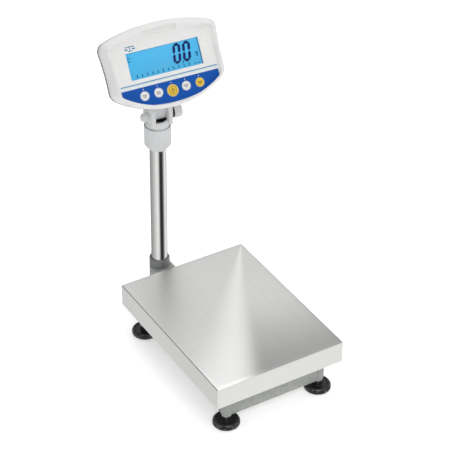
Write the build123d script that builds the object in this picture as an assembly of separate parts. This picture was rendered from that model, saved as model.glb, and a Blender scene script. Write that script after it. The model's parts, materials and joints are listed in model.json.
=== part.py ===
"""Column bench scale: platform on a single-point load cell, column, tilting indicator head.

Millimetres, +Z up. The base is modelled with the platform's centre on the floor at (0, 0, 0).
The column's top is modelled about the tilt pivot, and the head in its own face frame:
x along the face, y up the face, z out of the face, origin at the display's centre.
The finished set is moved along Y so that the origin is the centre of its box, on the floor.
"""
import os
from build123d import *

# ---- driving dimensions -------------------------------------------------------------------
PAN_WIDTH = 300.0
PAN_DEPTH = 400.0
PAN_SKIRT = 50.0
PAN_SHEET = 1.5
PAN_EDGE_R = 1.4

FOOT_INSET_X = 39.0
FOOT_INSET_Y = 29.5
BASE_BOTTOM = 26.0

COLUMN_BEHIND = 102.0
COLUMN_R = 18.0
COLUMN_TOP = 400.0
PIVOT_ABOVE = 52.0

SWIVEL_DEG = -4.0
TILT_DEG = 32.0
FACE_OUT = 118.0
FACE_UP = 111.0

# ---- shared clearances --------------------------------------------------------------------
RUN_GAP = 0.3
SHAFT_GAP = 0.05
SCREW_GAP = 0.1

# ---- base frame ---------------------------------------------------------------------------
BEAM_THICK = 20.0
BEAM_HIGH = 34.0
BEAM_WALL = 2.0
BEAM_INSET = 0.5
BOSS_R = 12.25
BOSS_CHAMFER = 2.0
STUD_R = 6.0
RAIL_DEPTH = 50.0
RAIL_HIGH = 20.0

# ---- feet ---------------------------------------------------------------------------------
FOOT_R = 28.5
FOOT_RIM_HIGH = 10.0
FOOT_LIP_R = 24.5
FOOT_LIP_HIGH = 13.0
FOOT_DISH_R = 21.0
FOOT_DISH_DEEP = 2.0
FOOT_HUB_R = 10.0
FOOT_HUB_TOP = 18.0
FOOT_FLUTES = 36
FOOT_FLUTE_R = 1.1
FOOT_LEDGE = 0.4
STUD_SEAT = 6.0
STUD_TOP = 56.0
NUT_ACROSS = 19.0
NUT_HIGH = 6.5

# ---- load cell and platform carrier -------------------------------------------------------
CELL_WIDTH = 40.0
CELL_LENGTH = 130.0
CELL_HIGH = 22.0
CELL_HOLE_R = 8.0
CELL_HOLE_Y = 14.0
CELL_SLOT_HIGH = 5.0
CELL_BOLT_Y = 45.0
CELL_BOLT_PITCH = 14.0
CELL_BOLT_R = 3.0
CELL_BOLT_GRIP = 12.0
SPACER_SIDE = 40.0
SPACER_THICK = 4.0
CARRIER_PLATE_X = 120.0
CARRIER_PLATE_Y = 80.0
CARRIER_PLATE_THICK = 4.0
CARRIER_TUBE = 20.0
CARRIER_WALL = 1.5
CARRIER_INSET_X = 70.0
CARRIER_INSET_Y = 24.0
CARRIER_BAR_PITCH = 50.0
BUTTON_R = 9.0
BUTTON_HIGH = 8.2
BUTTON_INSET = 50.0
STOP_R = 4.0
STOP_GAP = 1.0
STOP_NUT_ACROSS = 13.0
STOP_NUT_HIGH = 6.0
STIFFENER_X = 35.0
STIFFENER_WIDTH = 30.0
STIFFENER_INSET = 35.0
STIFFENER_THICK = 4.0

# ---- rear arm and column socket -----------------------------------------------------------
ARM_WIDTH = 50.0
ARM_WALL = 2.5
FLANGE_WIDTH = 100.0
FLANGE_THICK = 5.0
FLANGE_BOLT_X = 38.0
FLANGE_BOLT_DZ = 20.0
ARM_BOLT_R = 3.0
SOCKET_WALL = 4.5
SOCKET_TOP = 80.0
SOCKET_FLOOR = 6.0
SOCKET_SCREW_Z = (48.0, 68.0)
TUBE_WALL = 2.0
LEVEL_R = 13.0
LEVEL_HIGH = 9.0
VIAL_R = 9.0
VIAL_HIGH = 7.0

# ---- swivel and clamp sleeve --------------------------------------------------------------
SPIGOT_R = 15.0
SPIGOT_FLANGE_THICK = 4.7
SPIGOT_PLUG = 20.0
SPIGOT_WALL = 7.0
SWIVEL_LIP = 15.0
RING_WIDE = 3.5
RING_THICK = 3.0
SLEEVE_WALL = 1.25
SLEEVE_BELOW = 31.0
SLEEVE_CONE = 12.0
SLEEVE_ABOVE = 27.0
SLEEVE_NOSE_WALL = 2.0
SLEEVE_GROOVES = 48
SLEEVE_GROOVE_R = 0.75
SLEEVE_BAND = 3.0

# ---- yoke and tilt clamp, measured from the pivot -----------------------------------------
YOKE_R = 26.0
YOKE_SLEEVE_GAP = 1.75
YOKE_LIP_BELOW = 9.0
YOKE_WALL = 6.0
EAR_INNER = 15.5
EAR_OUTER = 24.0
EAR_FRONT = 26.0
EAR_BACK = 20.0
EAR_ABOVE = 30.0
EAR_BELOW = 16.0
EAR_CORNER_R = 12.0
PIVOT_BOSS_WALL = 9.0
PIVOT_BOSS = 4.5
PIVOT_R = 4.0
WASHER_WALL = 10.5
WASHER_THICK = 6.0
KNOB_WALL = 12.0
KNOB_LONG = 17.7
KNOB_GROOVES = 20
KNOB_GROOVE_R = 1.3
CAP_WALL = 5.7
CAP_LONG = 14.0
CAP_DOME = 6.0
CAP_FLOOR = 4.0
BOLT_SHORT = 2.5

# ---- head shells, in the face frame -------------------------------------------------------
CORNER_X = 132.5
CORNER_T = 55.0
CROWN_T = 79.0
WAIST_X = 127.5
HEEL_X = 128.5
HEEL_T = -54.6
FOOT_T = -99.5
CORNER_R = 20.0
HEEL_R = 24.0
HEEL_RISE = 0.35
RIM_OUT = 6.0
BEVEL_DEEP = 6.0
PARTING = -22.0
GASKET_THICK = 1.2
GASKET_INSET = 0.8
GASKET_WIDE = 3.0
BACK = -70.0
BACK_INSET = 24.0
SHELL_WALL = 2.8
RIM_SIDE = 10.0
RIM_BOTTOM = 5.5
RIDGE = 1.5
PANEL_X = 110.5
PANEL_TOP_T = 48.0
PANEL_TOP_BOW = 0.6
PANEL_HEEL_T = -68.5
PANEL_FOOT_T = -90.5
PANEL_THICK = 3.0
PANEL_CORNER_R = 6.0
CAVITY_STEP = 14.0
CAVITY_STEP_DEEP = 8.0
NOTCH_HALF = 38.0
NOTCH_LOW = 54.0
NOTCH_HIGH = 65.0
NOTCH_DEEP = 1.2

# ---- display, keypad and what lies behind -------------------------------------------------
WINDOW_WIDE = 163.0
WINDOW_HIGH = 56.0
LENS_GAP = 0.2
LENS_THICK = 1.8
MODULE_MARGIN_X = 4.5
MODULE_MARGIN_T = 4.0
MODULE_THICK = 9.0
KEYPAD_TOP = -44.5
KEYPAD_THICK = 0.8
KEYPAD_GAP = 0.3
KEY_PITCH = 31.3
KEY_T = -64.0
KEY_RADII = (8.6, 8.6, 11.4, 8.6, 8.6)
KEY_LOW = 2.5
KEY_PROUD = 0.9
KEY_TRAVEL = 0.8
KEY_FLANGE = 1.2
KEY_FLANGE_THICK = 1.2
KEY_STEM_R = 3.0
BOARD_HALF = 75.0
BOARD_BOTTOM = -74.0
BOARD_TOP = 42.0
BOARD_THICK = 1.6
BOARD_Z = -16.0
POST_R = 3.0
POST_X = 70.0
POST_T = (37.0, -46.0)
BATTERY_WIDE = 96.0
BATTERY_HIGH = 52.0
BATTERY_THICK = 28.0
BATTERY_T = -28.0
CONNECTOR_T = 30.0
CONNECTOR_PLATE_WIDE = 130.0
CONNECTOR_PLATE_HIGH = 30.0
CONNECTOR_PLATE_THICK = 2.0
INLET_X = -42.0
INLET_WIDE = 28.0
INLET_HIGH = 20.0
SERIAL_WIDE = 31.0
SERIAL_HIGH = 13.0
CELL_PORT_X = 42.0
CELL_PORT_R = 8.0
CONNECTOR_DEEP = 14.0
CONNECTOR_PROUD = 3.0
CONNECTOR_RECESS = 3.0
CONNECTOR_WALL = 2.0
SCREW_R = 2.0
SCREW_HEAD_WIDE = 2.0
SCREW_HEAD = 2.4
SCREW_LONG = 14.0
SCREW_POST_WALL = 2.5
SCREW_SPOTS = ((-84.0, 20.0), (84.0, 20.0), (-84.0, -36.0), (84.0, -36.0), (-58.0, -57.0), (58.0, -57.0))

# ---- bracket between the head's back and the yoke -----------------------------------------
BRACKET_HALF = 30.0
BRACKET_LOW = -70.0
BRACKET_HIGH = -12.0
BRACKET_THICK = 5.0
BRACKET_EAR_GAP = 0.5
BRACKET_EYE_WALL = 7.0
BRACKET_ARM_TOP = -38.0
BRACKET_SCREW_X = 23.0
BRACKET_SCREW_T = (-20.0, -62.0)

# ---- sizes that follow ----------------------------------------------------------------------
FOOT_X = PAN_WIDTH / 2 - FOOT_INSET_X
FOOT_Y = PAN_DEPTH / 2 - FOOT_INSET_Y
COLUMN_Y = PAN_DEPTH / 2 + COLUMN_BEHIND
BEAM_TOP = BASE_BOTTOM + BEAM_HIGH
BEAM_Y = FOOT_Y - BEAM_INSET
BEAM_INNER_X = FOOT_X - BEAM_THICK / 2
CELL_BOTTOM = BEAM_TOP + SPACER_THICK
CELL_TOP = CELL_BOTTOM + CELL_HIGH
CARRIER_BOTTOM = CELL_TOP + SPACER_THICK + CARRIER_PLATE_THICK
CARRIER_TOP = CARRIER_BOTTOM + CARRIER_TUBE
CARRIER_RAIL_X = PAN_WIDTH / 2 - CARRIER_INSET_X
CARRIER_RAIL_HALF = PAN_DEPTH / 2 - CARRIER_INSET_Y
BUTTON_TOP = CARRIER_TOP + BUTTON_HIGH
BUTTON_Y = PAN_DEPTH / 2 - BUTTON_INSET
PAN_UNDER = BUTTON_TOP + RUN_GAP
PAN_TOP = PAN_UNDER + PAN_SHEET
SKIRT_BOTTOM = PAN_TOP - PAN_SKIRT
BEAM_REAR = BEAM_Y + BEAM_THICK / 2
SOCKET_R = COLUMN_R + SOCKET_WALL
PIVOT_HEIGHT = COLUMN_TOP + PIVOT_ABOVE
SPIGOT_SHOULDER = COLUMN_TOP + SPIGOT_FLANGE_THICK
SPIGOT_BORE_R = SPIGOT_R - SPIGOT_WALL
RING_R = SPIGOT_R + RING_WIDE
SLEEVE_BORE_R = YOKE_R + YOKE_SLEEVE_GAP
SLEEVE_R = SLEEVE_BORE_R + SLEEVE_WALL
SLEEVE_NOSE_R = COLUMN_R + SLEEVE_NOSE_WALL
SLEEVE_BOTTOM = COLUMN_TOP - SLEEVE_BELOW
SLEEVE_CONE_TOP = SLEEVE_BOTTOM + SLEEVE_CONE
SLEEVE_TOP = COLUMN_TOP + SLEEVE_ABOVE
YOKE_CHAMBER_R = YOKE_R - YOKE_WALL
PIVOT_BOSS_R = PIVOT_R + PIVOT_BOSS_WALL
WASHER_R = PIVOT_R + WASHER_WALL
KNOB_R = PIVOT_R + KNOB_WALL
CAP_R = PIVOT_R + CAP_WALL
BRACKET_ARM_HALF = EAR_INNER - BRACKET_EAR_GAP
BRACKET_EYE_R = PIVOT_R + BRACKET_EYE_WALL
SCREW_HEAD_R = SCREW_R + SCREW_HEAD_WIDE
SCREW_POST_R = SCREW_R + SCREW_POST_WALL
YOKE_BOTTOM = SPIGOT_SHOULDER + RUN_GAP - PIVOT_HEIGHT
YOKE_LIP_TOP = YOKE_BOTTOM + SWIVEL_LIP
WASHER_X = EAR_OUTER + PIVOT_BOSS
KNOB_X = WASHER_X + WASHER_THICK + RUN_GAP
KEY_XS = [KEY_PITCH * (i - 2) + 0.5 for i in range(5)]
KEY_TS = [KEY_T - (KEY_LOW if r > KEY_RADII[0] else 0.0) for r in KEY_RADII]

YOKE_PLACE = Pos(0, COLUMN_Y, PIVOT_HEIGHT) * Rot(0, 0, SWIVEL_DEG)
FACE_PLANE = Plane(origin=(0, -FACE_OUT, FACE_UP), x_dir=(1, 0, 0), z_dir=(0, -1, 0))
HEAD_PLACE = YOKE_PLACE * Rot(-TILT_DEG, 0, 0) * FACE_PLANE.location


# ---- helpers --------------------------------------------------------------------------------
def block(x0, x1, y0, y1, z0, z1):
    """A box between two corners."""
    centre = Pos((x0 + x1) / 2, (y0 + y1) / 2, (z0 + z1) / 2)
    return centre * Box(x1 - x0, y1 - y0, z1 - z0)


def rod(x, y, z0, z1, radius):
    """An upright cylinder between two heights."""
    return Pos(x, y, (z0 + z1) / 2) * Cylinder(radius, z1 - z0)


def rod_x(x0, x1, radius):
    """A cylinder on the X axis."""
    return Pos((x0 + x1) / 2, 0, 0) * Rot(0, 90, 0) * Cylinder(radius, x1 - x0)


def rod_y(x, z, y0, y1, radius):
    """A cylinder along Y."""
    return Pos(x, (y0 + y1) / 2, z) * Rot(90, 0, 0) * Cylinder(radius, y1 - y0)


def hexagon(x, y, z0, z1, across, hole_r):
    """A nut: hexagonal prism with a round hole."""
    prism = Pos(x, y, z0) * extrude(RegularPolygon(across / 2, 6, major_radius=False), z1 - z0)
    return prism - rod(x, y, z0, z1, hole_r)


def four(x, y):
    """The four corner places at +-x, +-y, front left first."""
    return [(-x, -y), (x, -y), (-x, y), (x, y)]


def grooved(radius, count, groove_r):
    """A disc face with round grooves about its edge."""
    grooves = PolarLocations(radius, count) * Circle(groove_r)
    return Circle(radius) - grooves


# ---- base frame -----------------------------------------------------------------------------
def boss_cores():
    """Solid corner posts, which the beams are shaped to."""
    return [rod(x, y, BASE_BOTTOM, BEAM_TOP, BOSS_R) for x, y in four(FOOT_X, FOOT_Y)]


def foot_bosses():
    bosses = []
    for x, y in four(FOOT_X, FOOT_Y):
        core = rod(x, y, BASE_BOTTOM, BEAM_TOP, BOSS_R)
        core = chamfer(core.edges().group_by(Axis.Z)[0], BOSS_CHAMFER)
        bosses.append(core - rod(x, y, BASE_BOTTOM, BEAM_TOP, STUD_R + SHAFT_GAP))
    return bosses


def cross_beam(y):
    """A square tube along X between two corner posts."""
    half = BEAM_THICK / 2
    tube = block(-FOOT_X, FOOT_X, y - half, y + half, BASE_BOTTOM, BEAM_TOP)
    inner = half - BEAM_WALL
    hollow = block(-FOOT_X, FOOT_X, y - inner, y + inner, BASE_BOTTOM + BEAM_WALL, BEAM_TOP - BEAM_WALL)
    tube -= hollow
    for core in boss_cores():
        tube -= core
    for x in (-CARRIER_RAIL_X, CARRIER_RAIL_X):
        tube -= rod(x, y, BEAM_TOP - BEAM_WALL, BEAM_TOP, STOP_R)
    return tube


def rear_beam():
    beam = cross_beam(BEAM_Y)
    for x, z in flange_bolt_spots():
        beam -= rod_y(x, z, BEAM_REAR - BEAM_WALL, BEAM_REAR, ARM_BOLT_R + SCREW_GAP)
    return beam


def side_beams():
    """The two tubes along Y, shaped to the corner posts and the cross beams."""
    beams = []
    half = BEAM_THICK / 2
    inner = half - BEAM_WALL
    end = BEAM_Y - half
    for x in (-FOOT_X, FOOT_X):
        tube = block(x - half, x + half, -end, end, BASE_BOTTOM, BEAM_TOP)
        hollow = block(x - inner, x + inner, -end, end, BASE_BOTTOM + BEAM_WALL, BEAM_TOP - BEAM_WALL)
        tube -= hollow
        for core in boss_cores():
            tube -= core
        beams.append(tube)
    return beams


def cell_rail():
    """The cross tube that carries the fixed end of the load cell."""
    y0 = -CELL_BOLT_Y - RAIL_DEPTH / 2
    y1 = -CELL_BOLT_Y + RAIL_DEPTH / 2
    z0 = BEAM_TOP - RAIL_HIGH
    tube = block(-BEAM_INNER_X, BEAM_INNER_X, y0, y1, z0, BEAM_TOP)
    tube -= block(-BEAM_INNER_X, BEAM_INNER_X, y0 + BEAM_WALL, y1 - BEAM_WALL, z0 + BEAM_WALL,
                  BEAM_TOP - BEAM_WALL)
    for y in cell_bolt_ys(-1):
        tube -= rod(0, y, z0, BEAM_TOP, CELL_BOLT_R + SCREW_GAP)
    return tube


# ---- load cell and carrier ------------------------------------------------------------------
def cell_bolt_ys(side):
    """The two bolt places at one end of the cell: side -1 is fixed, +1 carries the platform."""
    return [side * (CELL_BOLT_Y + d * CELL_BOLT_PITCH / 2) for d in (-1, 1)]


def load_cell():
    """A single-point cell: a bar with two joined cross holes that let it bend."""
    half = CELL_LENGTH / 2
    bar = block(-CELL_WIDTH / 2, CELL_WIDTH / 2, -half, half, CELL_BOTTOM, CELL_TOP)
    middle = (CELL_BOTTOM + CELL_TOP) / 2
    for y in (-CELL_HOLE_Y, CELL_HOLE_Y):
        bar -= Pos(0, y, middle) * rod_x(-CELL_WIDTH, CELL_WIDTH, CELL_HOLE_R)
    slot = CELL_SLOT_HIGH / 2
    bar -= block(-CELL_WIDTH, CELL_WIDTH, -CELL_HOLE_Y, CELL_HOLE_Y, middle - slot, middle + slot)
    for y in cell_bolt_ys(-1):
        bar -= rod(0, y, CELL_BOTTOM, CELL_BOTTOM + CELL_BOLT_GRIP, CELL_BOLT_R + SCREW_GAP)
    for y in cell_bolt_ys(1):
        bar -= rod(0, y, CELL_TOP - CELL_BOLT_GRIP, CELL_TOP, CELL_BOLT_R + SCREW_GAP)
    return bar


def cell_spacer(side, z0):
    half = SPACER_SIDE / 2
    middle = side * CELL_BOLT_Y
    plate = block(-half, half, middle - half, middle + half, z0, z0 + SPACER_THICK)
    for y in cell_bolt_ys(side):
        plate -= rod(0, y, z0, z0 + SPACER_THICK, CELL_BOLT_R + SCREW_GAP)
    return plate


def cell_bolts():
    """Two bolts up into the fixed end, and two down into the carrying end."""
    bolts = []
    head_r = CELL_BOLT_R * 5 / 3
    head = CELL_BOLT_R * 4 / 3
    rail_bottom = BEAM_TOP - RAIL_HIGH
    for y in cell_bolt_ys(-1):
        bolt = rod(0, y, rail_bottom - head, rail_bottom, head_r)
        bolts.append(bolt + rod(0, y, rail_bottom, CELL_BOTTOM + CELL_BOLT_GRIP, CELL_BOLT_R))
    for y in cell_bolt_ys(1):
        bolt = rod(0, y, CARRIER_BOTTOM, CARRIER_BOTTOM + head, head_r)
        bolts.append(bolt + rod(0, y, CELL_TOP - CELL_BOLT_GRIP, CARRIER_BOTTOM, CELL_BOLT_R))
    return bolts


def carrier_plate():
    y0 = CELL_BOLT_Y - CARRIER_PLATE_Y / 2
    z0 = CARRIER_BOTTOM - CARRIER_PLATE_THICK
    half = CARRIER_PLATE_X / 2
    plate = block(-half, half, y0, y0 + CARRIER_PLATE_Y, z0, CARRIER_BOTTOM)
    for y in cell_bolt_ys(1):
        plate -= rod(0, y, z0, CARRIER_BOTTOM, CELL_BOLT_R + SCREW_GAP)
    return plate


def carrier_bars():
    """Two short tubes along X that tie the carrier's rails to its plate."""
    bars = []
    reach = CARRIER_RAIL_X - CARRIER_TUBE / 2
    half = CARRIER_TUBE / 2
    inner = half - CARRIER_WALL
    for side in (-1, 1):
        y = CELL_BOLT_Y + side * CARRIER_BAR_PITCH / 2
        bar = block(-reach, reach, y - half, y + half, CARRIER_BOTTOM, CARRIER_TOP)
        bar -= block(-reach, reach, y - inner, y + inner, CARRIER_BOTTOM + CARRIER_WALL,
                     CARRIER_TOP - CARRIER_WALL)
        bars.append(bar)
    return bars


def carrier_rails():
    """Two long tubes along Y that hold the platform near its corners."""
    rails = []
    half = CARRIER_TUBE / 2
    inner = half - CARRIER_WALL
    end = CARRIER_RAIL_HALF
    for x in (-CARRIER_RAIL_X, CARRIER_RAIL_X):
        rail = block(x - half, x + half, -end, end, CARRIER_BOTTOM, CARRIER_TOP)
        rail -= block(x - inner, x + inner, -end, end, CARRIER_BOTTOM + CARRIER_WALL,
                      CARRIER_TOP - CARRIER_WALL)
        rails.append(rail)
    return rails


def pan_buttons():
    """Rubber buttons on the rails, which the platform rests on."""
    return [rod(x, y, CARRIER_TOP, BUTTON_TOP, BUTTON_R) for x, y in four(CARRIER_RAIL_X, BUTTON_Y)]


def overload_stops():
    """Screws that stop the carrier just before the cell is overloaded."""
    z0 = BEAM_TOP - BEAM_WALL
    z1 = CARRIER_BOTTOM - STOP_GAP
    return [rod(x, y, z0, z1, STOP_R) for x, y in four(CARRIER_RAIL_X, BEAM_Y)]


def stop_nuts():
    spots = four(CARRIER_RAIL_X, BEAM_Y)
    return [hexagon(x, y, BEAM_TOP, BEAM_TOP + STOP_NUT_HIGH, STOP_NUT_ACROSS, STOP_R) for x, y in spots]


# ---- platform -------------------------------------------------------------------------------
def pan():
    """A folded sheet tray, open underneath, with nearly sharp corners."""
    x = PAN_WIDTH / 2
    y = PAN_DEPTH / 2
    tray = block(-x, x, -y, y, SKIRT_BOTTOM, PAN_TOP)
    tray = fillet(tray.edges().group_by(Axis.Z)[-1], PAN_EDGE_R)
    x -= PAN_SHEET
    y -= PAN_SHEET
    return tray - block(-x, x, -y, y, SKIRT_BOTTOM, PAN_UNDER)


def pan_stiffeners():
    half = STIFFENER_WIDTH / 2
    end = PAN_DEPTH / 2 - STIFFENER_INSET
    low = PAN_UNDER - STIFFENER_THICK
    return [block(x - half, x + half, -end, end, low, PAN_UNDER) for x in (-STIFFENER_X, STIFFENER_X)]


# ---- feet -----------------------------------------------------------------------------------
def foot_pad(x, y):
    """A fluted plastic disc with a dished top and a hub for its stud."""
    pad = extrude(grooved(FOOT_R, FOOT_FLUTES, FOOT_FLUTE_R), FOOT_RIM_HIGH)
    rim = Pos(0, 0, FOOT_RIM_HIGH) * Circle(FOOT_R - FOOT_FLUTE_R - FOOT_LEDGE)
    lip = Pos(0, 0, FOOT_LIP_HIGH) * Circle(FOOT_LIP_R)
    pad += loft([rim, lip])
    pad -= rod(0, 0, FOOT_LIP_HIGH - FOOT_DISH_DEEP, FOOT_LIP_HIGH, FOOT_DISH_R)
    pad += rod(0, 0, FOOT_RIM_HIGH, FOOT_HUB_TOP, FOOT_HUB_R)
    pad -= rod(0, 0, STUD_SEAT, FOOT_HUB_TOP, STUD_R)
    return Pos(x, y, 0) * pad


def foot_stud(x, y):
    return rod(x, y, STUD_SEAT, STUD_TOP, STUD_R)


def foot_nuts():
    """Lock nuts against the corner posts."""
    z0 = BASE_BOTTOM - NUT_HIGH
    spots = four(FOOT_X, FOOT_Y)
    return [hexagon(x, y, z0, BASE_BOTTOM, NUT_ACROSS, STUD_R + SHAFT_GAP) for x, y in spots]


# ---- rear arm and column --------------------------------------------------------------------
def flange_bolt_spots():
    middle = (BASE_BOTTOM + BEAM_TOP) / 2
    spots = []
    for x in (-FLANGE_BOLT_X, FLANGE_BOLT_X):
        for side in (-1, 1):
            spots.append((x, middle + side * FLANGE_BOLT_DZ / 2))
    return spots


def arm_flange():
    half = FLANGE_WIDTH / 2
    plate = block(-half, half, BEAM_REAR, BEAM_REAR + FLANGE_THICK, BASE_BOTTOM, BEAM_TOP)
    for x, z in flange_bolt_spots():
        plate -= rod_y(x, z, BEAM_REAR, BEAM_REAR + FLANGE_THICK, ARM_BOLT_R + SCREW_GAP)
    return plate


def arm_bolts():
    bolts = []
    seat = BEAM_REAR + FLANGE_THICK
    for x, z in flange_bolt_spots():
        bolt = rod_y(x, z, BEAM_REAR - BEAM_WALL, seat, ARM_BOLT_R)
        bolts.append(bolt + rod_y(x, z, seat, seat + ARM_BOLT_R * 4 / 3, ARM_BOLT_R * 5 / 3))
    return bolts


def rear_arm():
    """A box tube from the flange back to the socket."""
    half = ARM_WIDTH / 2
    inner = half - ARM_WALL
    y0 = BEAM_REAR + FLANGE_THICK
    tube = block(-half, half, y0, COLUMN_Y, BASE_BOTTOM, BEAM_TOP)
    tube -= block(-inner, inner, y0, COLUMN_Y, BASE_BOTTOM + ARM_WALL, BEAM_TOP - ARM_WALL)
    return tube - rod(0, COLUMN_Y, BASE_BOTTOM, BEAM_TOP, SOCKET_R)


def column_socket():
    floor = BASE_BOTTOM + SOCKET_FLOOR
    socket = rod(0, COLUMN_Y, BASE_BOTTOM, SOCKET_TOP, SOCKET_R)
    socket -= rod(0, COLUMN_Y, floor, SOCKET_TOP, COLUMN_R + SHAFT_GAP)
    for z in SOCKET_SCREW_Z:
        socket -= rod_y(0, z, COLUMN_Y, COLUMN_Y + SOCKET_R, ARM_BOLT_R + SCREW_GAP)
    return socket


def socket_screws():
    screws = []
    seat = COLUMN_Y + SOCKET_R
    for z in SOCKET_SCREW_Z:
        screw = rod_y(0, z, COLUMN_Y + COLUMN_R + SHAFT_GAP, seat, ARM_BOLT_R)
        screws.append(screw + rod_y(0, z, seat, seat + ARM_BOLT_R * 4 / 3, ARM_BOLT_R * 5 / 3))
    return screws


def column_tube():
    floor = BASE_BOTTOM + SOCKET_FLOOR
    tube = rod(0, COLUMN_Y, floor, COLUMN_TOP, COLUMN_R)
    return tube - rod(0, COLUMN_Y, floor, COLUMN_TOP, COLUMN_R - TUBE_WALL)


def level_y():
    """Half way along the open part of the arm."""
    return (BEAM_REAR + FLANGE_THICK + COLUMN_Y - SOCKET_R) / 2


def level_holder():
    holder = rod(0, level_y(), BEAM_TOP, BEAM_TOP + LEVEL_HIGH, LEVEL_R)
    return holder - rod(0, level_y(), BEAM_TOP + LEVEL_HIGH - VIAL_HIGH, BEAM_TOP + LEVEL_HIGH, VIAL_R)


def level_vial():
    return rod(0, level_y(), BEAM_TOP + LEVEL_HIGH - VIAL_HIGH, BEAM_TOP + LEVEL_HIGH, VIAL_R)


# ---- swivel, sleeve, yoke -------------------------------------------------------------------
def swivel_spigot():
    """Plugs the tube's top, and carries the yoke on a turned spigot."""
    plug = rod(0, COLUMN_Y, COLUMN_TOP - SPIGOT_PLUG, COLUMN_TOP, COLUMN_R - TUBE_WALL - SHAFT_GAP)
    flange = rod(0, COLUMN_Y, COLUMN_TOP, SPIGOT_SHOULDER, SLEEVE_BORE_R - SHAFT_GAP)
    ring_top = SPIGOT_SHOULDER + 2 * RUN_GAP + SWIVEL_LIP + RING_THICK
    spigot = plug + flange + rod(0, COLUMN_Y, SPIGOT_SHOULDER, ring_top, SPIGOT_R)
    return spigot - rod(0, COLUMN_Y, COLUMN_TOP - SPIGOT_PLUG, ring_top, SPIGOT_BORE_R)


def swivel_ring():
    """Keeps the yoke on its spigot."""
    z0 = SPIGOT_SHOULDER + 2 * RUN_GAP + SWIVEL_LIP
    ring = rod(0, COLUMN_Y, z0, z0 + RING_THICK, RING_R)
    return ring - rod(0, COLUMN_Y, z0, z0 + RING_THICK, SPIGOT_R)


def clamp_sleeve():
    """The ribbed sleeve round the column's top, which tightens the swivel."""
    nose = Pos(0, 0, SLEEVE_BOTTOM) * Circle(SLEEVE_NOSE_R)
    shoulder = Pos(0, 0, SLEEVE_CONE_TOP) * Circle(SLEEVE_R)
    sleeve = loft([nose, shoulder])
    ribs_low = SLEEVE_CONE_TOP + SLEEVE_BAND
    ribs_high = SLEEVE_TOP - SLEEVE_BAND
    sleeve += rod(0, 0, SLEEVE_CONE_TOP, ribs_low, SLEEVE_R)
    ribbed = grooved(SLEEVE_R, SLEEVE_GROOVES, SLEEVE_GROOVE_R)
    sleeve += Pos(0, 0, ribs_low) * extrude(ribbed, ribs_high - ribs_low)
    sleeve += rod(0, 0, ribs_high, SLEEVE_TOP, SLEEVE_R)
    sleeve -= rod(0, 0, SLEEVE_BOTTOM, SLEEVE_TOP, COLUMN_R + SHAFT_GAP)
    sleeve -= rod(0, 0, ribs_low, SLEEVE_TOP, SLEEVE_BORE_R)
    return Pos(0, COLUMN_Y, 0) * sleeve


def yoke():
    """A hollow round base with two ears, about the pivot."""
    body = rod(0, 0, YOKE_BOTTOM, -YOKE_LIP_BELOW, YOKE_R)
    sides = block(-EAR_OUTER, EAR_OUTER, -YOKE_R, YOKE_R, YOKE_BOTTOM, -YOKE_LIP_BELOW)
    body = body & (sides + rod(0, 0, YOKE_BOTTOM, -EAR_BELOW, YOKE_R))
    for side in (-1, 1):
        middle = side * (EAR_INNER + EAR_OUTER) / 2
        thick = (EAR_OUTER - EAR_INNER) / 2
        ear = block(middle - thick, middle + thick, -EAR_FRONT, EAR_BACK, -EAR_BELOW, EAR_ABOVE)
        ear = fillet(ear.edges().filter_by(Axis.X).group_by(Axis.Z)[-1], EAR_CORNER_R)
        body += ear
    body += rod_x(EAR_OUTER, WASHER_X, PIVOT_BOSS_R)
    body -= rod(0, 0, YOKE_BOTTOM, YOKE_LIP_TOP, SPIGOT_R + SHAFT_GAP)
    body -= rod(0, 0, YOKE_LIP_TOP, -YOKE_LIP_BELOW, YOKE_CHAMBER_R)
    return body - rod_x(-EAR_OUTER, WASHER_X, PIVOT_R + SHAFT_GAP)


def pivot_bolt():
    return rod_x(-EAR_OUTER - CAP_LONG + CAP_FLOOR, KNOB_X + KNOB_LONG - BOLT_SHORT, PIVOT_R)


def pivot_cap():
    """The domed end on the left ear."""
    dome = rod_x(-EAR_OUTER - CAP_LONG, -EAR_OUTER, CAP_R)
    dome = fillet(dome.edges().group_by(Axis.X)[0], CAP_DOME)
    return dome - rod_x(-EAR_OUTER - CAP_LONG + CAP_FLOOR, -EAR_OUTER, PIVOT_R)


def pivot_washer():
    washer = rod_x(WASHER_X, WASHER_X + WASHER_THICK, WASHER_R)
    return washer - rod_x(WASHER_X, WASHER_X + WASHER_THICK, PIVOT_R)


def clamp_knob():
    """The ribbed hand knob on the pivot bolt."""
    knob = extrude(grooved(KNOB_R, KNOB_GROOVES, KNOB_GROOVE_R), KNOB_LONG)
    knob -= rod(0, 0, 0, KNOB_LONG - BOLT_SHORT, PIVOT_R + SHAFT_GAP)
    return Pos(KNOB_X, 0, 0) * Rot(0, 90, 0) * knob


# ---- head outlines --------------------------------------------------------------------------
def outline(corner, crown, waist, heel, foot, top_r, heel_r):
    """A closed face: bowed top and foot, waisted sides, rounded corners."""
    tl = (-corner[0], corner[1])
    tr = (corner[0], corner[1])
    br = (heel[0], heel[1])
    bl = (-heel[0], heel[1])
    edges = [
        ThreePointArc(tl, (0, crown), tr),
        ThreePointArc(tr, (waist, 0), br),
        ThreePointArc(br, (0, foot), bl),
        ThreePointArc(bl, (-waist, 0), tl),
    ]
    face = make_face(edges)
    face = fillet(face.vertices().group_by(Axis.Y)[-1], top_r)
    return fillet(face.vertices().group_by(Axis.Y)[0], heel_r)


def shell_face(side, bottom):
    """The head's outline, drawn in by one amount at the sides and top and another at the bottom."""
    corner = (CORNER_X - side, CORNER_T - side)
    heel = (HEEL_X - side, HEEL_T + bottom * HEEL_RISE)
    radius_top = max(CORNER_R - side / 2, PANEL_CORNER_R)
    radius_heel = max(HEEL_R - bottom / 2, PANEL_CORNER_R)
    return outline(corner, CROWN_T - side, WAIST_X - side, heel, FOOT_T + bottom, radius_top, radius_heel)


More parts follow.
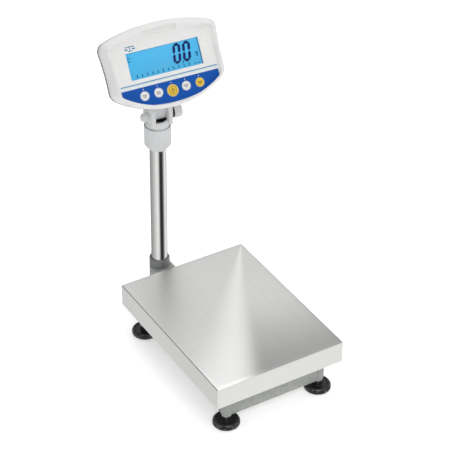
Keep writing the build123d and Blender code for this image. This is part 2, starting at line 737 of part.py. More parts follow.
def panel_face(inset):
    """The flat panel's outline."""
    corner = (PANEL_X - inset, PANEL_TOP_T - inset)
    heel = (PANEL_X - inset, PANEL_HEEL_T + inset)
    crown = PANEL_TOP_T + PANEL_TOP_BOW - inset
    waist = PANEL_X - inset - PANEL_TOP_BOW
    return outline(corner, crown, waist, heel, PANEL_FOOT_T + inset, PANEL_CORNER_R, PANEL_CORNER_R)


def between(face, z0, z1):
    """A face run out between two depths."""
    return Pos(0, 0, z0) * extrude(face, z1 - z0)


def taper(face_a, z_a, face_b, z_b):
    """A ruled solid from one outline to another."""
    return loft([Pos(0, 0, z_a) * face_a, Pos(0, 0, z_b) * face_b], ruled=True)


# ---- head pieces, in the face frame ---------------------------------------------------------
def front_bezel():
    """The front shell: sloped rim, sunk panel, window, key holes, board posts."""
    shell = between(shell_face(0, 0), PARTING, -BEVEL_DEEP)
    shell += taper(shell_face(0, 0), -BEVEL_DEEP, shell_face(RIM_SIDE, RIM_BOTTOM), RIM_OUT)
    rim = shell_face(RIM_SIDE + RIDGE, RIM_BOTTOM + RIDGE)
    shell -= taper(panel_face(0), 0, rim, RIM_OUT)
    shell -= between(shell_face(SHELL_WALL, SHELL_WALL), PARTING, -CAVITY_STEP_DEEP)
    shell -= between(shell_face(CAVITY_STEP, CAVITY_STEP), -CAVITY_STEP_DEEP, -PANEL_THICK)
    shell -= block(-WINDOW_WIDE / 2, WINDOW_WIDE / 2, -WINDOW_HIGH / 2, WINDOW_HIGH / 2, -PANEL_THICK, 0)
    shell -= between(keypad_face(0), -KEYPAD_THICK, 0)
    for x, t, radius in zip(KEY_XS, KEY_TS, KEY_RADII):
        shell -= rod(x, t, -PANEL_THICK, 0, radius + RUN_GAP)
    for x, t in post_spots():
        shell += rod(x, t, BOARD_Z, -PANEL_THICK, POST_R)
    return shell - top_notch()


def top_notch():
    """A shallow flat sunk into the slope above the panel."""
    foot = PANEL_TOP_T + PANEL_TOP_BOW
    slope = RIM_OUT / (CROWN_T - RIM_SIDE - RIDGE - foot)
    low = (NOTCH_LOW - foot) * slope - NOTCH_DEEP
    high = (NOTCH_HIGH - foot) * slope - NOTCH_DEEP
    over = 2 * RIM_OUT
    profile = Polygon((NOTCH_LOW, low), (NOTCH_HIGH, high), (NOTCH_HIGH, over), (NOTCH_LOW, over), align=None)
    return extrude(Plane.YZ * profile, NOTCH_HALF, both=True)


def post_spots():
    return [(x, t) for x in (-POST_X, POST_X) for t in POST_T]


def keypad_face(gap):
    """The lower part of the panel, which the coloured keypad covers."""
    lower = Rectangle(4 * PANEL_X, -2 * PANEL_FOOT_T, align=(Align.CENTER, Align.MAX))
    return panel_face(KEYPAD_GAP + gap) & (Pos(0, KEYPAD_TOP - gap) * lower)


def keypad_overlay():
    plate = between(keypad_face(SCREW_GAP), -KEYPAD_THICK, 0)
    for x, t, radius in zip(KEY_XS, KEY_TS, KEY_RADII):
        plate -= rod(x, t, -KEYPAD_THICK, 0, radius + RUN_GAP)
    return plate


def key(x, t, radius):
    """A round key: cap through the panel, flange behind it, stem to the board."""
    flange_top = -PANEL_THICK - RUN_GAP
    flange_low = flange_top - KEY_FLANGE_THICK
    cap = rod(x, t, flange_top, KEY_PROUD, radius)
    cap = fillet(cap.edges().group_by(Axis.Z)[-1], KEY_PROUD / 2)
    flange = rod(x, t, flange_low, flange_top, radius + KEY_FLANGE)
    stem = rod(x, t, BOARD_Z + KEY_TRAVEL + RUN_GAP, flange_low, KEY_STEM_R)
    return cap + flange + stem


def head_gasket():
    outer = between(shell_face(GASKET_INSET, GASKET_INSET), PARTING - GASKET_THICK, PARTING)
    inset = GASKET_INSET + GASKET_WIDE
    return outer - between(shell_face(inset, inset), PARTING - GASKET_THICK, PARTING)


def rear_housing():
    """The rear shell, tapering to a flat back with screw posts and openings for the sockets."""
    front = PARTING - GASKET_THICK
    outer = taper(shell_face(0, 0), front, shell_face(BACK_INSET, BACK_INSET), BACK)
    wall = SHELL_WALL
    deep = BACK_INSET + wall
    inner = taper(shell_face(wall, wall), front, shell_face(deep, deep), BACK + wall)
    shell = outer - inner
    for x, t in SCREW_SPOTS:
        shell += rod(x, t, BACK + SHELL_WALL, BACK + SCREW_LONG + SHELL_WALL, SCREW_POST_R)
        shell -= rod(x, t, BACK, BACK + SCREW_LONG, SCREW_R)
    for cutter in connector_bodies(SCREW_GAP, BACK, BACK + SHELL_WALL):
        shell -= cutter
    for x, t in bracket_screw_spots():
        shell -= rod(x, t, BACK, BACK + SHELL_WALL, SCREW_R)
    return shell


def housing_screws():
    screws = []
    for x, t in SCREW_SPOTS:
        screw = rod(x, t, BACK, BACK + SCREW_LONG, SCREW_R)
        screws.append(screw + rod(x, t, BACK - SCREW_HEAD, BACK, SCREW_HEAD_R))
    return screws


def connector_bodies(gap, z0, z1):
    """The three sockets' outer shapes between two depths: power, serial, load cell."""
    x = INLET_WIDE / 2 + gap
    t = INLET_HIGH / 2 + gap
    inlet = block(INLET_X - x, INLET_X + x, CONNECTOR_T - t, CONNECTOR_T + t, z0, z1)
    x = SERIAL_WIDE / 2 + gap
    t = SERIAL_HIGH / 2 + gap
    serial = block(-x, x, CONNECTOR_T - t, CONNECTOR_T + t, z0, z1)
    return [inlet, serial, rod(CELL_PORT_X, CONNECTOR_T, z0, z1, CELL_PORT_R + gap)]


def connectors():
    """The sockets, each with a shallow mouth at the back."""
    outer = BACK - CONNECTOR_PLATE_THICK - CONNECTOR_PROUD
    inner = BACK + CONNECTOR_DEEP
    sockets = []
    hollows = connector_bodies(-CONNECTOR_WALL, outer, outer + CONNECTOR_RECESS)
    for body, hollow in zip(connector_bodies(0, outer, inner), hollows):
        sockets.append(body - hollow)
    return sockets


def connector_plate():
    half = CONNECTOR_PLATE_WIDE / 2
    t = CONNECTOR_PLATE_HIGH / 2
    z0 = BACK - CONNECTOR_PLATE_THICK
    plate = block(-half, half, CONNECTOR_T - t, CONNECTOR_T + t, z0, BACK)
    for cutter in connector_bodies(SCREW_GAP, z0, BACK):
        plate -= cutter
    return plate


def display_lens():
    x = WINDOW_WIDE / 2 - LENS_GAP
    t = WINDOW_HIGH / 2 - LENS_GAP
    return block(-x, x, -t, t, -PANEL_THICK, -PANEL_THICK + LENS_THICK)


def display_module():
    x = WINDOW_WIDE / 2 + MODULE_MARGIN_X
    t = WINDOW_HIGH / 2 + MODULE_MARGIN_T
    return block(-x, x, -t, t, -PANEL_THICK - MODULE_THICK, -PANEL_THICK)


def circuit_board():
    return block(-BOARD_HALF, BOARD_HALF, BOARD_BOTTOM, BOARD_TOP, BOARD_Z - BOARD_THICK, BOARD_Z)


def battery_pack():
    x = BATTERY_WIDE / 2
    t = BATTERY_HIGH / 2
    z0 = BACK + SHELL_WALL
    return block(-x, x, BATTERY_T - t, BATTERY_T + t, z0, z0 + BATTERY_THICK)


def bracket_screw_spots():
    return [(x, t) for x in (-BRACKET_SCREW_X, BRACKET_SCREW_X) for t in BRACKET_SCREW_T]


def tilt_bracket():
    """A plate on the head's back, with an arm to the eye on the pivot."""
    seat = BACK - BRACKET_THICK
    plate = block(-BRACKET_HALF, BRACKET_HALF, BRACKET_LOW, BRACKET_HIGH, seat, BACK)
    eye = Pos(-FACE_UP, -FACE_OUT) * Circle(BRACKET_EYE_R)
    root = Line((BRACKET_LOW, seat), (BRACKET_ARM_TOP, seat))
    profile = make_hull(eye.edges() + root.edges())
    arm = extrude(Plane.YZ * profile, BRACKET_ARM_HALF, both=True)
    bracket = plate + arm
    bracket -= Pos(0, -FACE_UP, -FACE_OUT) * rod_x(-BRACKET_HALF, BRACKET_HALF, PIVOT_R + SHAFT_GAP)
    for x, t in bracket_screw_spots():
        bracket -= rod(x, t, seat, BACK, SCREW_R + SCREW_GAP)
    return bracket


def bracket_screws():
    screws = []
    seat = BACK - BRACKET_THICK
    for x, t in bracket_screw_spots():
        screw = rod(x, t, seat, BACK + SHELL_WALL, SCREW_R)
        screws.append(screw + rod(x, t, seat - SCREW_HEAD, seat, SCREW_HEAD_R))
    return screws


# ---- the whole set --------------------------------------------------------------------------
def base_nodes():
    nodes = {
        "front_beam": cross_beam(-BEAM_Y),
        "rear_beam": rear_beam(),
        "side_beams": side_beams(),
        "foot_bosses": foot_bosses(),
        "cell_rail": cell_rail(),
        "cell_spacer_lower": cell_spacer(-1, BEAM_TOP),
        "load_cell": load_cell(),
        "cell_spacer_upper": cell_spacer(1, CELL_TOP),
        "cell_bolts": cell_bolts(),
        "carrier_plate": carrier_plate(),
        "carrier_bars": carrier_bars(),
        "carrier_rails": carrier_rails(),
        "pan_buttons": pan_buttons(),
        "overload_stops": overload_stops(),
        "stop_nuts": stop_nuts(),
        "foot_lock_nuts": foot_nuts(),
        "arm_flange": arm_flange(),
        "arm_bolts": arm_bolts(),
        "rear_arm": rear_arm(),
        "column_socket": column_socket(),
        "socket_screws": socket_screws(),
        "column_tube": column_tube(),
        "level_holder": level_holder(),
        "level_vial": level_vial(),
        "swivel_spigot": swivel_spigot(),
        "swivel_ring": swivel_ring(),
        "clamp_sleeve": clamp_sleeve(),
        "pan": pan(),
        "pan_stiffeners": pan_stiffeners(),
    }
    names = ("front_left", "front_right", "rear_left", "rear_right")
    for name, (x, y) in zip(names, four(FOOT_X, FOOT_Y)):
        nodes["foot_pad_" + name] = foot_pad(x, y)
        nodes["foot_stud_" + name] = foot_stud(x, y)
    return nodes


def yoke_nodes():
    return {
        "yoke": yoke(),
        "pivot_bolt": pivot_bolt(),
        "pivot_cap": pivot_cap(),
        "pivot_washer": pivot_washer(),
        "clamp_knob": clamp_knob(),
    }


def head_nodes():
    nodes = {
        "tilt_bracket": tilt_bracket(),
        "bracket_screws": bracket_screws(),
        "rear_housing": rear_housing(),
        "head_gasket": head_gasket(),
        "front_bezel": front_bezel(),
        "housing_screws": housing_screws(),
        "display_lens": display_lens(),
        "display_module": display_module(),
        "keypad_overlay": keypad_overlay(),
        "circuit_board": circuit_board(),
        "battery_pack": battery_pack(),
        "connector_plate": connector_plate(),
        "connectors": connectors(),
    }
    for i, (x, t, radius) in enumerate(zip(KEY_XS, KEY_TS, KEY_RADII)):
        nodes["key_%d" % (i + 1)] = key(x, t, radius)
    return nodes


def placed(nodes, place):
    """Every node as a list of solids, moved by a placement."""
    moved = {}
    for name, shape in nodes.items():
        pieces = shape if isinstance(shape, list) else [shape]
        solids = [solid for piece in pieces for solid in piece.solids()]
        moved[name] = [place * solid for solid in solids]
    return moved


def main():
    nodes = placed(base_nodes(), Pos(0, 0, 0))
    nodes.update(placed(yoke_nodes(), YOKE_PLACE))
    nodes.update(placed(head_nodes(), HEAD_PLACE))
    boxes = [solid.bounding_box() for solids in nodes.values() for solid in solids]
    front = min(box.min.Y for box in boxes)
    rear = max(box.max.Y for box in boxes)
    shift = Pos(0, -(front + rear) / 2, 0)
    os.makedirs("parts", exist_ok=True)
    for name, solids in nodes.items():
        group = Compound(children=[shift * solid for solid in solids])
        group.label = name
        export_step(group, "parts/%s.step" % name)
    top = max(box.max.Z for box in boxes)
    print("shift %.4f depth %.3f height %.3f" % (-(front + rear) / 2, rear - front, top))


main()
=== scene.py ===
"""Finish for a column bench scale: pan, frame, feet, column, clamp and tilting indicator head."""
import json
import math

import bmesh
import bpy
from mathutils import Matrix, Vector
from mathutils.geometry import tessellate_polygon

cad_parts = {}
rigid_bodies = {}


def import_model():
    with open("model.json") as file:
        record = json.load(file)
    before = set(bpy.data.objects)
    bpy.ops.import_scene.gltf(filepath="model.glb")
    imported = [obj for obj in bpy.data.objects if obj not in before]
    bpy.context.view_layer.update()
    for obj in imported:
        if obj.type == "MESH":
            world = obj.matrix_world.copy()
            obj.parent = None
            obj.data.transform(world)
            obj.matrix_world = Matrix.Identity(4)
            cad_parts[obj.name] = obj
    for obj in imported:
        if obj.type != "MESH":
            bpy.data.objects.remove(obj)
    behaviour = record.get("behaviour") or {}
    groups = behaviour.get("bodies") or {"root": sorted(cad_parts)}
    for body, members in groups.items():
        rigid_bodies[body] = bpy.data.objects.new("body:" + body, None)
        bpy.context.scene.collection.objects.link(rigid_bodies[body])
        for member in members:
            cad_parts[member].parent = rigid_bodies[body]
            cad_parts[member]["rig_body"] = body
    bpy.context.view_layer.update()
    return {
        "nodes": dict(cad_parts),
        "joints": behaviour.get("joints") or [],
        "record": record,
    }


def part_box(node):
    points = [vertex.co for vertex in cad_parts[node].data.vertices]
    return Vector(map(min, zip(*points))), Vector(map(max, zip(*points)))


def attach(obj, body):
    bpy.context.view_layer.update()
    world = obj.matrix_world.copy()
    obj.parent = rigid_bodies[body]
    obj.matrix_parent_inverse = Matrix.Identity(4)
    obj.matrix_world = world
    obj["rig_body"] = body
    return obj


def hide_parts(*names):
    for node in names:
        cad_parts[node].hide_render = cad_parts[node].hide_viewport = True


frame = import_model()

bl_info = {
    "name": "Bench Scale Finish",
    "version": (1, 0, 0),
    "blender": (4, 5, 0),
    "location": "3D Viewport > Sidebar > Bench Scale",
    "description": "Builds the visible pieces and finishes of a column bench scale around its CAD frame",
    "category": "Object",
}

MM = 0.001
JOINTS = {joint["name"]: joint for joint in frame["joints"]}

# ---- places read from the frame ---------------------------------------------------------------
PAN_LOW, PAN_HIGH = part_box("pan")
PAN_CENTRE = (PAN_LOW + PAN_HIGH) / 2
PIVOT = Vector(JOINTS["head_tilt"]["pos_m"])
COLUMN_AXIS = Vector(JOINTS["head_swivel"]["pos_m"])
FACE_X = Vector(JOINTS["head_tilt"]["axis"]).normalized()
FACE_N = -Vector(JOINTS["key_1_press"]["axis"]).normalized()
FACE_U = FACE_N.cross(FACE_X).normalized()


def local_frame(origin, x, y, z):
    """Millimetres along three axes from an origin, as a matrix into the row frame."""
    turn = Matrix((x, y, z)).transposed().to_4x4()
    return Matrix.Translation(origin) @ turn @ Matrix.Scale(MM, 4)


UP = Vector((0, 0, 1))
AHEAD = Vector((0, 1, 0))
RIGHT = Vector((1, 0, 0))
LENS_MIDDLE = 2.1
LENS_LOW, LENS_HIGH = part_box("display_lens")
FACE_ORIGIN = (LENS_LOW + LENS_HIGH) / 2 + FACE_N * LENS_MIDDLE * MM
FACE = local_frame(FACE_ORIGIN, FACE_X, FACE_U, FACE_N)
BASE = local_frame(Vector((PAN_CENTRE.x, PAN_CENTRE.y, 0)), RIGHT, AHEAD, UP)
POST = local_frame(Vector((COLUMN_AXIS.x, COLUMN_AXIS.y, 0)), RIGHT, AHEAD, UP)
TILT_SIDE = UP.cross(FACE_X)
YOKE = local_frame(PIVOT, FACE_X, TILT_SIDE, UP)
SHAFT = local_frame(PIVOT, TILT_SIDE, UP, FACE_X)


def foot_frame(name):
    """The upright frame of one foot, on the floor."""
    spot = Vector(JOINTS["foot_turn_" + name]["pos_m"])
    return local_frame(Vector((spot.x, spot.y, 0)), RIGHT, AHEAD, UP)


def extent(node, axis):
    """Lowest and highest of a node along one row axis, in millimetres."""
    low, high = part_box(node)
    return low[axis] / MM, high[axis] / MM


# ---- properties -------------------------------------------------------------------------------
def colour_property(name, description, value):
    return bpy.props.FloatVectorProperty(name=name, description=description, default=value, size=3,
                                         min=0, max=1, subtype="COLOR")


def size_property(name, description, millimetres):
    return bpy.props.FloatProperty(name=name, description=description, default=millimetres * MM, min=0,
                                   subtype="DISTANCE", unit="LENGTH", precision=5)


def count_property(name, description, value, least, most):
    return bpy.props.IntProperty(name=name, description=description, default=value, min=least, max=most)


def stage_property(name, description, value, subtype, unit="NONE", **limits):
    return bpy.props.FloatProperty(name=name, description=description, default=value, subtype=subtype,
                                   unit=unit, **limits)


class ScaleSizes(bpy.types.PropertyGroup):
    """Sizes of the finish, in metres."""

    frame_edge: size_property("Frame edge", "Rounding of the painted frame's edges", 0.8)
    clamp_edge: size_property("Clamp edge", "Rounding of the moulded clamp's edges", 1.4)
    metal_edge: size_property("Metal edge", "Rounding of machined edges", 0.4)
    pan_corner: size_property("Pan corner", "Radius of the pan's upright corners", 0.9)
    bead_step: size_property("Weld step", "Distance between ripples along a weld", 1.5)
    thread_pitch: size_property("Thread pitch", "Pitch of the feet's screw threads", 1.75)
    foot_flutes: count_property("Foot flutes", "Grip grooves round each foot", 36, 6, 90)
    sleeve_ribs: count_property("Sleeve ribs", "Grip grooves round the clamp sleeve", 48, 8, 120)
    knob_flutes: count_property("Knob flutes", "Grip grooves round the clamp knob", 20, 6, 60)
    ticks: count_property("Bar ticks", "Ticks along the foot of the display", 11, 2, 40)


class ScaleColours(bpy.types.PropertyGroup):
    """Colours of the finish, linear."""

    housing: colour_property("Housing", "Indicator shells", (0.84, 0.84, 0.83))
    clamp: colour_property("Clamp", "Yoke, sleeve and knob", (0.70, 0.71, 0.72))
    paint: colour_property("Frame paint", "Powder coat of the base", (0.33, 0.345, 0.325))
    # The collar colour is the frame's powder coat darkened, as painted shade.
    collar: colour_property("Collar paint", "Powder coat of the column's socket", (0.20, 0.208, 0.206))
    steel: colour_property("Pan steel", "Brushed stainless sheet", (0.75, 0.75, 0.74))
    tube: colour_property("Column steel", "Polished tube", (0.86, 0.86, 0.86))
    keypad: colour_property("Keypad", "Printed film under the keys", (0.002, 0.085, 0.42))
    stripe: colour_property("Stripe", "Printed line above the keypad", (0.015, 0.22, 0.42))
    display: colour_property("Display", "Backlit liquid crystal", (0.075, 0.50, 0.86))
    digit: colour_property("Digits", "Dark segments", (0.004, 0.006, 0.13))
    key_plain: colour_property("Plain keys", "Keys 1, 2 and 4", (0.86, 0.86, 0.84))
    key_bright: colour_property("Bright keys", "Keys 3 and 5", (0.86, 0.57, 0.06))
    foot: colour_property("Feet", "Moulded discs", (0.017, 0.017, 0.019))


class StageSettings(bpy.types.PropertyGroup):
    """Floor, lights and camera."""

    floor_size: stage_property("Floor", "Width of the floor", 24, "DISTANCE", "LENGTH", min=2)
    key_power: stage_property("Key light", "Power of the main softbox", 46, "POWER", "POWER", min=0)
    fill_power: stage_property("Fill light", "Power of the side softbox", 7, "POWER", "POWER", min=0)
    pan_power: stage_property("Pan light", "Power of the softbox the pan reflects", 8.5, "POWER", "POWER", min=0)
    sky: stage_property("Sky", "Strength of the even light all round", 0.42, "FACTOR", min=0, max=5)
    floor_glow: stage_property("Floor glow", "Light the floor gives of its own", 0.42, "FACTOR", min=0, max=2)
    reflection: stage_property("Floor in metal", "How bright metal sees the floor", 0.80, "FACTOR", min=0, max=2)
    camera_turn: stage_property("Camera turn", "Camera azimuth, 0 looks along +Y", math.radians(-30.438),
                                "ANGLE", "ROTATION")
    camera_rise: stage_property("Camera rise", "Camera elevation", math.radians(34.420), "ANGLE", "ROTATION")
    camera_away: stage_property("Camera distance", "From the aim point", 4.1679, "DISTANCE", "LENGTH")
    lens: stage_property("Lens", "Focal length in millimetres", 145.37, "DISTANCE_CAMERA", "CAMERA", min=1)


# ---- shader graphs ----------------------------------------------------------------------------
def put(tree, kind, inputs=None, **settings):
    """Adds a node, sets its properties, and feeds its inputs with values or sockets."""
    node = tree.nodes.new(kind)
    node.location = (180 * len(tree.nodes), 0)
    for name, value in settings.items():
        setattr(node, name, value)
    for name, value in (inputs or {}).items():
        socket = node.inputs[name]
        if isinstance(value, bpy.types.NodeSocket):
            tree.links.new(value, socket)
        else:
            socket.default_value = value
    return node


def noise(tree, inputs):
    return put(tree, "ShaderNodeTexNoise", inputs)


def maths(tree, operation, a, b=0.0, c=0.0, clamp=False):
    node = put(tree, "ShaderNodeMath", {0: a, 1: b, 2: c}, operation=operation, use_clamp=clamp)
    return node.outputs[0]


def mix_colour(tree, factor, a, b, blend="MIX"):
    node = put(tree, "ShaderNodeMix", data_type="RGBA", blend_type=blend)
    for index, value in ((0, factor), (6, a), (7, b)):
        if isinstance(value, bpy.types.NodeSocket):
            tree.links.new(value, node.inputs[index])
        else:
            node.inputs[index].default_value = value
    return node.outputs[2]


def ramp(tree, value, low, high, to_low=0.0, to_high=1.0):
    """Maps low..high to to_low..to_high with soft ends."""
    inputs = {"Value": value, "From Min": low, "From Max": high, "To Min": to_low, "To Max": to_high}
    return put(tree, "ShaderNodeMapRange", inputs, interpolation_type="SMOOTHSTEP").outputs[0]


def group_tree(name, inputs, outputs):
    """A shader group with named sockets: (tree, what it is given, what it puts out)."""
    tree = bpy.data.node_groups.new(name, "ShaderNodeTree")
    for label, kind, value in inputs:
        socket = tree.interface.new_socket(label, in_out="INPUT", socket_type="NodeSocket" + kind)
        if value is not None:
            socket.default_value = value
    for label, kind in outputs:
        tree.interface.new_socket(label, in_out="OUTPUT", socket_type="NodeSocket" + kind)
    return tree, tree.nodes.new("NodeGroupInput").outputs, tree.nodes.new("NodeGroupOutput").inputs


def grain_group():
    """Fine spark-eroded texture of moulded plastic or a powder coat's orange peel."""
    wanted = [("Vector", "Vector", None), ("Pitch", "Float", 0.0006), ("Softness", "Float", 0.5)]
    tree, given, made = group_tree("Moulded grain", wanted, [("Height", "Float"), ("Shade", "Float")])
    scale = maths(tree, "DIVIDE", 1.0, given["Pitch"])
    pits = put(tree, "ShaderNodeTexVoronoi", {"Vector": given["Vector"], "Scale": scale},
               feature="SMOOTH_F1")
    soft = noise(tree, {"Vector": given["Vector"], "Scale": scale, "Detail": 3.0})
    height = put(tree, "ShaderNodeMix", {0: given["Softness"], 2: pits.outputs["Distance"],
                                         3: soft.outputs[0]}, data_type="FLOAT").outputs[0]
    tree.links.new(height, made["Height"])
    broad = noise(tree, {"Vector": given["Vector"], "Scale": 14.0, "Detail": 2.0})
    tree.links.new(broad.outputs[0], made["Shade"])
    return tree


def brush_group():
    """Long fine lines of a brushed or turned metal: Lines is the reciprocal spacing on each axis."""
    wanted = [("Vector", "Vector", None), ("Lines", "Vector", (4000.0, 12.0, 4000.0))]
    tree, given, made = group_tree("Brushed lines", wanted, [("Height", "Float"), ("Shade", "Float")])
    fine = put(tree, "ShaderNodeVectorMath", {0: given["Vector"], 1: given["Lines"]},
               operation="MULTIPLY")
    coarse = put(tree, "ShaderNodeVectorMath", {0: fine.outputs[0], 1: (0.23, 0.4, 0.23)},
                 operation="MULTIPLY")
    hair = noise(tree, {"Vector": fine.outputs[0], "Scale": 1.0, "Detail": 4.0,
                                            "Roughness": 0.7})
    band = noise(tree, {"Vector": coarse.outputs[0], "Scale": 1.0, "Detail": 2.0})
    tree.links.new(hair.outputs[0], made["Height"])
    tree.links.new(maths(tree, "MULTIPLY_ADD", band.outputs[0], 0.5, maths(tree, "MULTIPLY", hair.outputs[0], 0.5)),
                   made["Shade"])
    return tree


def handling_group():
    """Faint dust and finger marks: a mask from 0, clean, to 1."""
    wanted = [("Vector", "Vector", None), ("Spread", "Float", 9.0), ("Amount", "Float", 0.4)]
    tree, given, made = group_tree("Handling marks", wanted, [("Mask", "Float"), ("Scratches", "Float")])
    cloud = noise(tree, {"Vector": given["Vector"], "Scale": given["Spread"],
                                             "Detail": 5.0, "Roughness": 0.62, "Distortion": 0.4})
    mask = maths(tree, "MULTIPLY", ramp(tree, cloud.outputs[0], 0.48, 0.74), given["Amount"])
    tree.links.new(mask, made["Mask"])
    bent = put(tree, "ShaderNodeMapping", {"Vector": given["Vector"], "Rotation": (0.4, 0.7, 0.9),
                                           "Scale": (900.0, 14.0, 900.0)})
    lines = noise(tree, {"Vector": bent.outputs[0], "Scale": 1.0, "Detail": 1.0})
    cuts = maths(tree, "MULTIPLY", ramp(tree, lines.outputs[0], 0.70, 0.76), mask)
    tree.links.new(cuts, made["Scratches"])
    return tree


def edge_wear_and_highlight_group():
    """Rubbed edges, and where a finish lightens them strongly a painted highlight: the mesh's own edge mask broken up
    by a fine pattern.
    """
    wanted = [("Vector", "Vector", None), ("Edge", "Float", 0.0), ("Amount", "Float", 0.5)]
    tree, given, made = group_tree("Rubbed and highlighted edges", wanted, [("Mask", "Float")])
    chips = noise(tree, {"Vector": given["Vector"], "Scale": 160.0, "Detail": 4.0})
    level = maths(tree, "MULTIPLY", given["Edge"], ramp(tree, chips.outputs[0], 0.42, 0.62))
    tree.links.new(maths(tree, "MULTIPLY", level, given["Amount"]), made["Mask"])
    return tree


def fan_group():
    """A fixed wedge that opens from one corner: a mask over it, and the distance from the corner."""
    wanted = [("Vector", "Vector", None), ("Corner", "Vector", (0.0, 0.0, 0.0)), ("Middle", "Float", 0.0),
              ("Sharp side", "Float", 0.03), ("Soft side", "Float", 0.25)]
    tree, given, made = group_tree("Painted fan", wanted, [("Mask", "Float"), ("Away", "Float")])
    offset = put(tree, "ShaderNodeVectorMath", {0: given["Vector"], 1: given["Corner"]},
                 operation="SUBTRACT")
    parts = put(tree, "ShaderNodeSeparateXYZ", {0: offset.outputs[0]})
    away_x = maths(tree, "MULTIPLY", parts.outputs[0], -1.0)
    away_y = maths(tree, "MULTIPLY", parts.outputs[1], -1.0)
    angle = maths(tree, "SUBTRACT", maths(tree, "ARCTAN2", away_x, away_y), given["Middle"])
    right = maths(tree, "SUBTRACT", 1.0, ramp(tree, maths(tree, "MULTIPLY", angle, -1.0), 0.0,
                                              given["Sharp side"]))
    left = maths(tree, "SUBTRACT", 1.0, ramp(tree, angle, 0.0, given["Soft side"]))
    tree.links.new(maths(tree, "MULTIPLY", right, left), made["Mask"])
    far = put(tree, "ShaderNodeVectorMath", {0: offset.outputs[0]}, operation="LENGTH")
    tree.links.new(far.outputs["Value"], made["Away"])
    return tree


GROUPS = {}
MATERIALS = {}

# The pan is one steel. Its ends are painted lighter, as painted light, and its side folds darker, as a painted dark
# reflection.
END_PAINTED_LIGHT_GAIN = 1.27
FOLD_PAINTED_REFLECTION_GAIN = 0.22


def shared_group(name):
    """One of the shared effects, built the first time it is asked for."""
    makers = {"grain": grain_group, "brush": brush_group, "handling": handling_group, "edge_wear_and_highlight": edge_wear_and_highlight_group,
              "fan": fan_group}
    if name not in GROUPS:
        GROUPS[name] = makers[name]()
    return GROUPS[name]


def effect(tree, name, inputs):
    return put(tree, "ShaderNodeGroup", inputs, node_tree=shared_group(name))


def object_place(tree):
    return put(tree, "ShaderNodeTexCoord").outputs["Object"]


def bump(tree, height, distance, strength=1.0):
    return put(tree, "ShaderNodeBump", {"Height": height, "Distance": distance, "Strength": strength}).outputs[0]


def rgba(colour, gain=1.0):
    return (*(min(1.0, channel * gain) for channel in colour[:3]), 1.0)


def blank_material(name, **settings):
    """A new material: (material, its tree, its principled shader)."""
    material = bpy.data.materials.new(name)
    material.use_nodes = True
    tree = material.node_tree
    shader = tree.nodes["Principled BSDF"]
    for label, value in settings.items():
        shader.inputs[label.replace("_", " ")].default_value = value
    MATERIALS[name] = material
    return material, tree, shader


def moulded_plastic(name, colour, roughness, pitch=0.0006, depth=0.00002, marks=0.25, edge=0.25, dim=0.93,
                    rub=1.12):
    """Satin or matt plastic with spark-eroded grain, faint handling marks and lightened edges: rubbed wear, and where
    rub is large a painted highlight.
    """
    material, tree, shader = blank_material(name, Specular_IOR_Level=0.45)
    place = object_place(tree)
    grain = effect(tree, "grain", {"Vector": place, "Pitch": pitch, "Softness": 0.45})
    marked = effect(tree, "handling", {"Vector": place, "Spread": 11.0, "Amount": marks})
    sharp_edges = put(tree, "ShaderNodeAttribute", attribute_name="edge")
    worn_and_highlit = effect(tree, "edge_wear_and_highlight", {"Vector": place, "Edge": sharp_edges.outputs["Fac"], "Amount": edge})
    tone = mix_colour(tree, maths(tree, "MULTIPLY", grain.outputs["Shade"], 0.35), rgba(colour), rgba(colour, dim))
    tone = mix_colour(tree, marked.outputs["Mask"], tone, rgba(colour, dim - 0.05))
    # Edges lightened by rub: rubbed wear, and where it is large a painted highlight.
    tone = mix_colour(tree, worn_and_highlit.outputs["Mask"], tone, rgba(colour, rub))
    tree.links.new(tone, shader.inputs["Base Color"])
    gloss = maths(tree, "MULTIPLY_ADD", marked.outputs["Mask"], -0.12, roughness)
    gloss = maths(tree, "MULTIPLY_ADD", grain.outputs["Shade"], 0.08, gloss)
    tree.links.new(gloss, shader.inputs["Roughness"])
    tree.links.new(bump(tree, grain.outputs["Height"], depth, 0.6), shader.inputs["Normal"])
    return material


def powder_coat(name, colour):
    """Semi-matt powder coat with orange peel, dust and edges rubbed towards the metal."""
    material, tree, shader = blank_material(name, Specular_IOR_Level=0.5)
    place = object_place(tree)
    peel = effect(tree, "grain", {"Vector": place, "Pitch": 0.0016, "Softness": 0.85})
    dust = effect(tree, "handling", {"Vector": place, "Spread": 16.0, "Amount": 0.07})
    sharp_edges = put(tree, "ShaderNodeAttribute", attribute_name="edge")
    worn_and_highlit = effect(tree, "edge_wear_and_highlight", {"Vector": place, "Edge": sharp_edges.outputs["Fac"], "Amount": 0.3})
    tone = mix_colour(tree, peel.outputs["Shade"], rgba(colour, 0.96), rgba(colour, 1.04))
    tone = mix_colour(tree, dust.outputs["Mask"], tone, rgba(colour, 1.18))
    tone = mix_colour(tree, worn_and_highlit.outputs["Mask"], tone, rgba(colour, 1.6))
    tree.links.new(tone, shader.inputs["Base Color"])
    gloss = maths(tree, "MULTIPLY_ADD", dust.outputs["Mask"], 0.2, 0.42)
    tree.links.new(maths(tree, "MULTIPLY_ADD", worn_and_highlit.outputs["Mask"], -0.15, gloss), shader.inputs["Roughness"])
    tree.links.new(bump(tree, peel.outputs["Height"], 0.00006, 0.5), shader.inputs["Normal"])
    return material


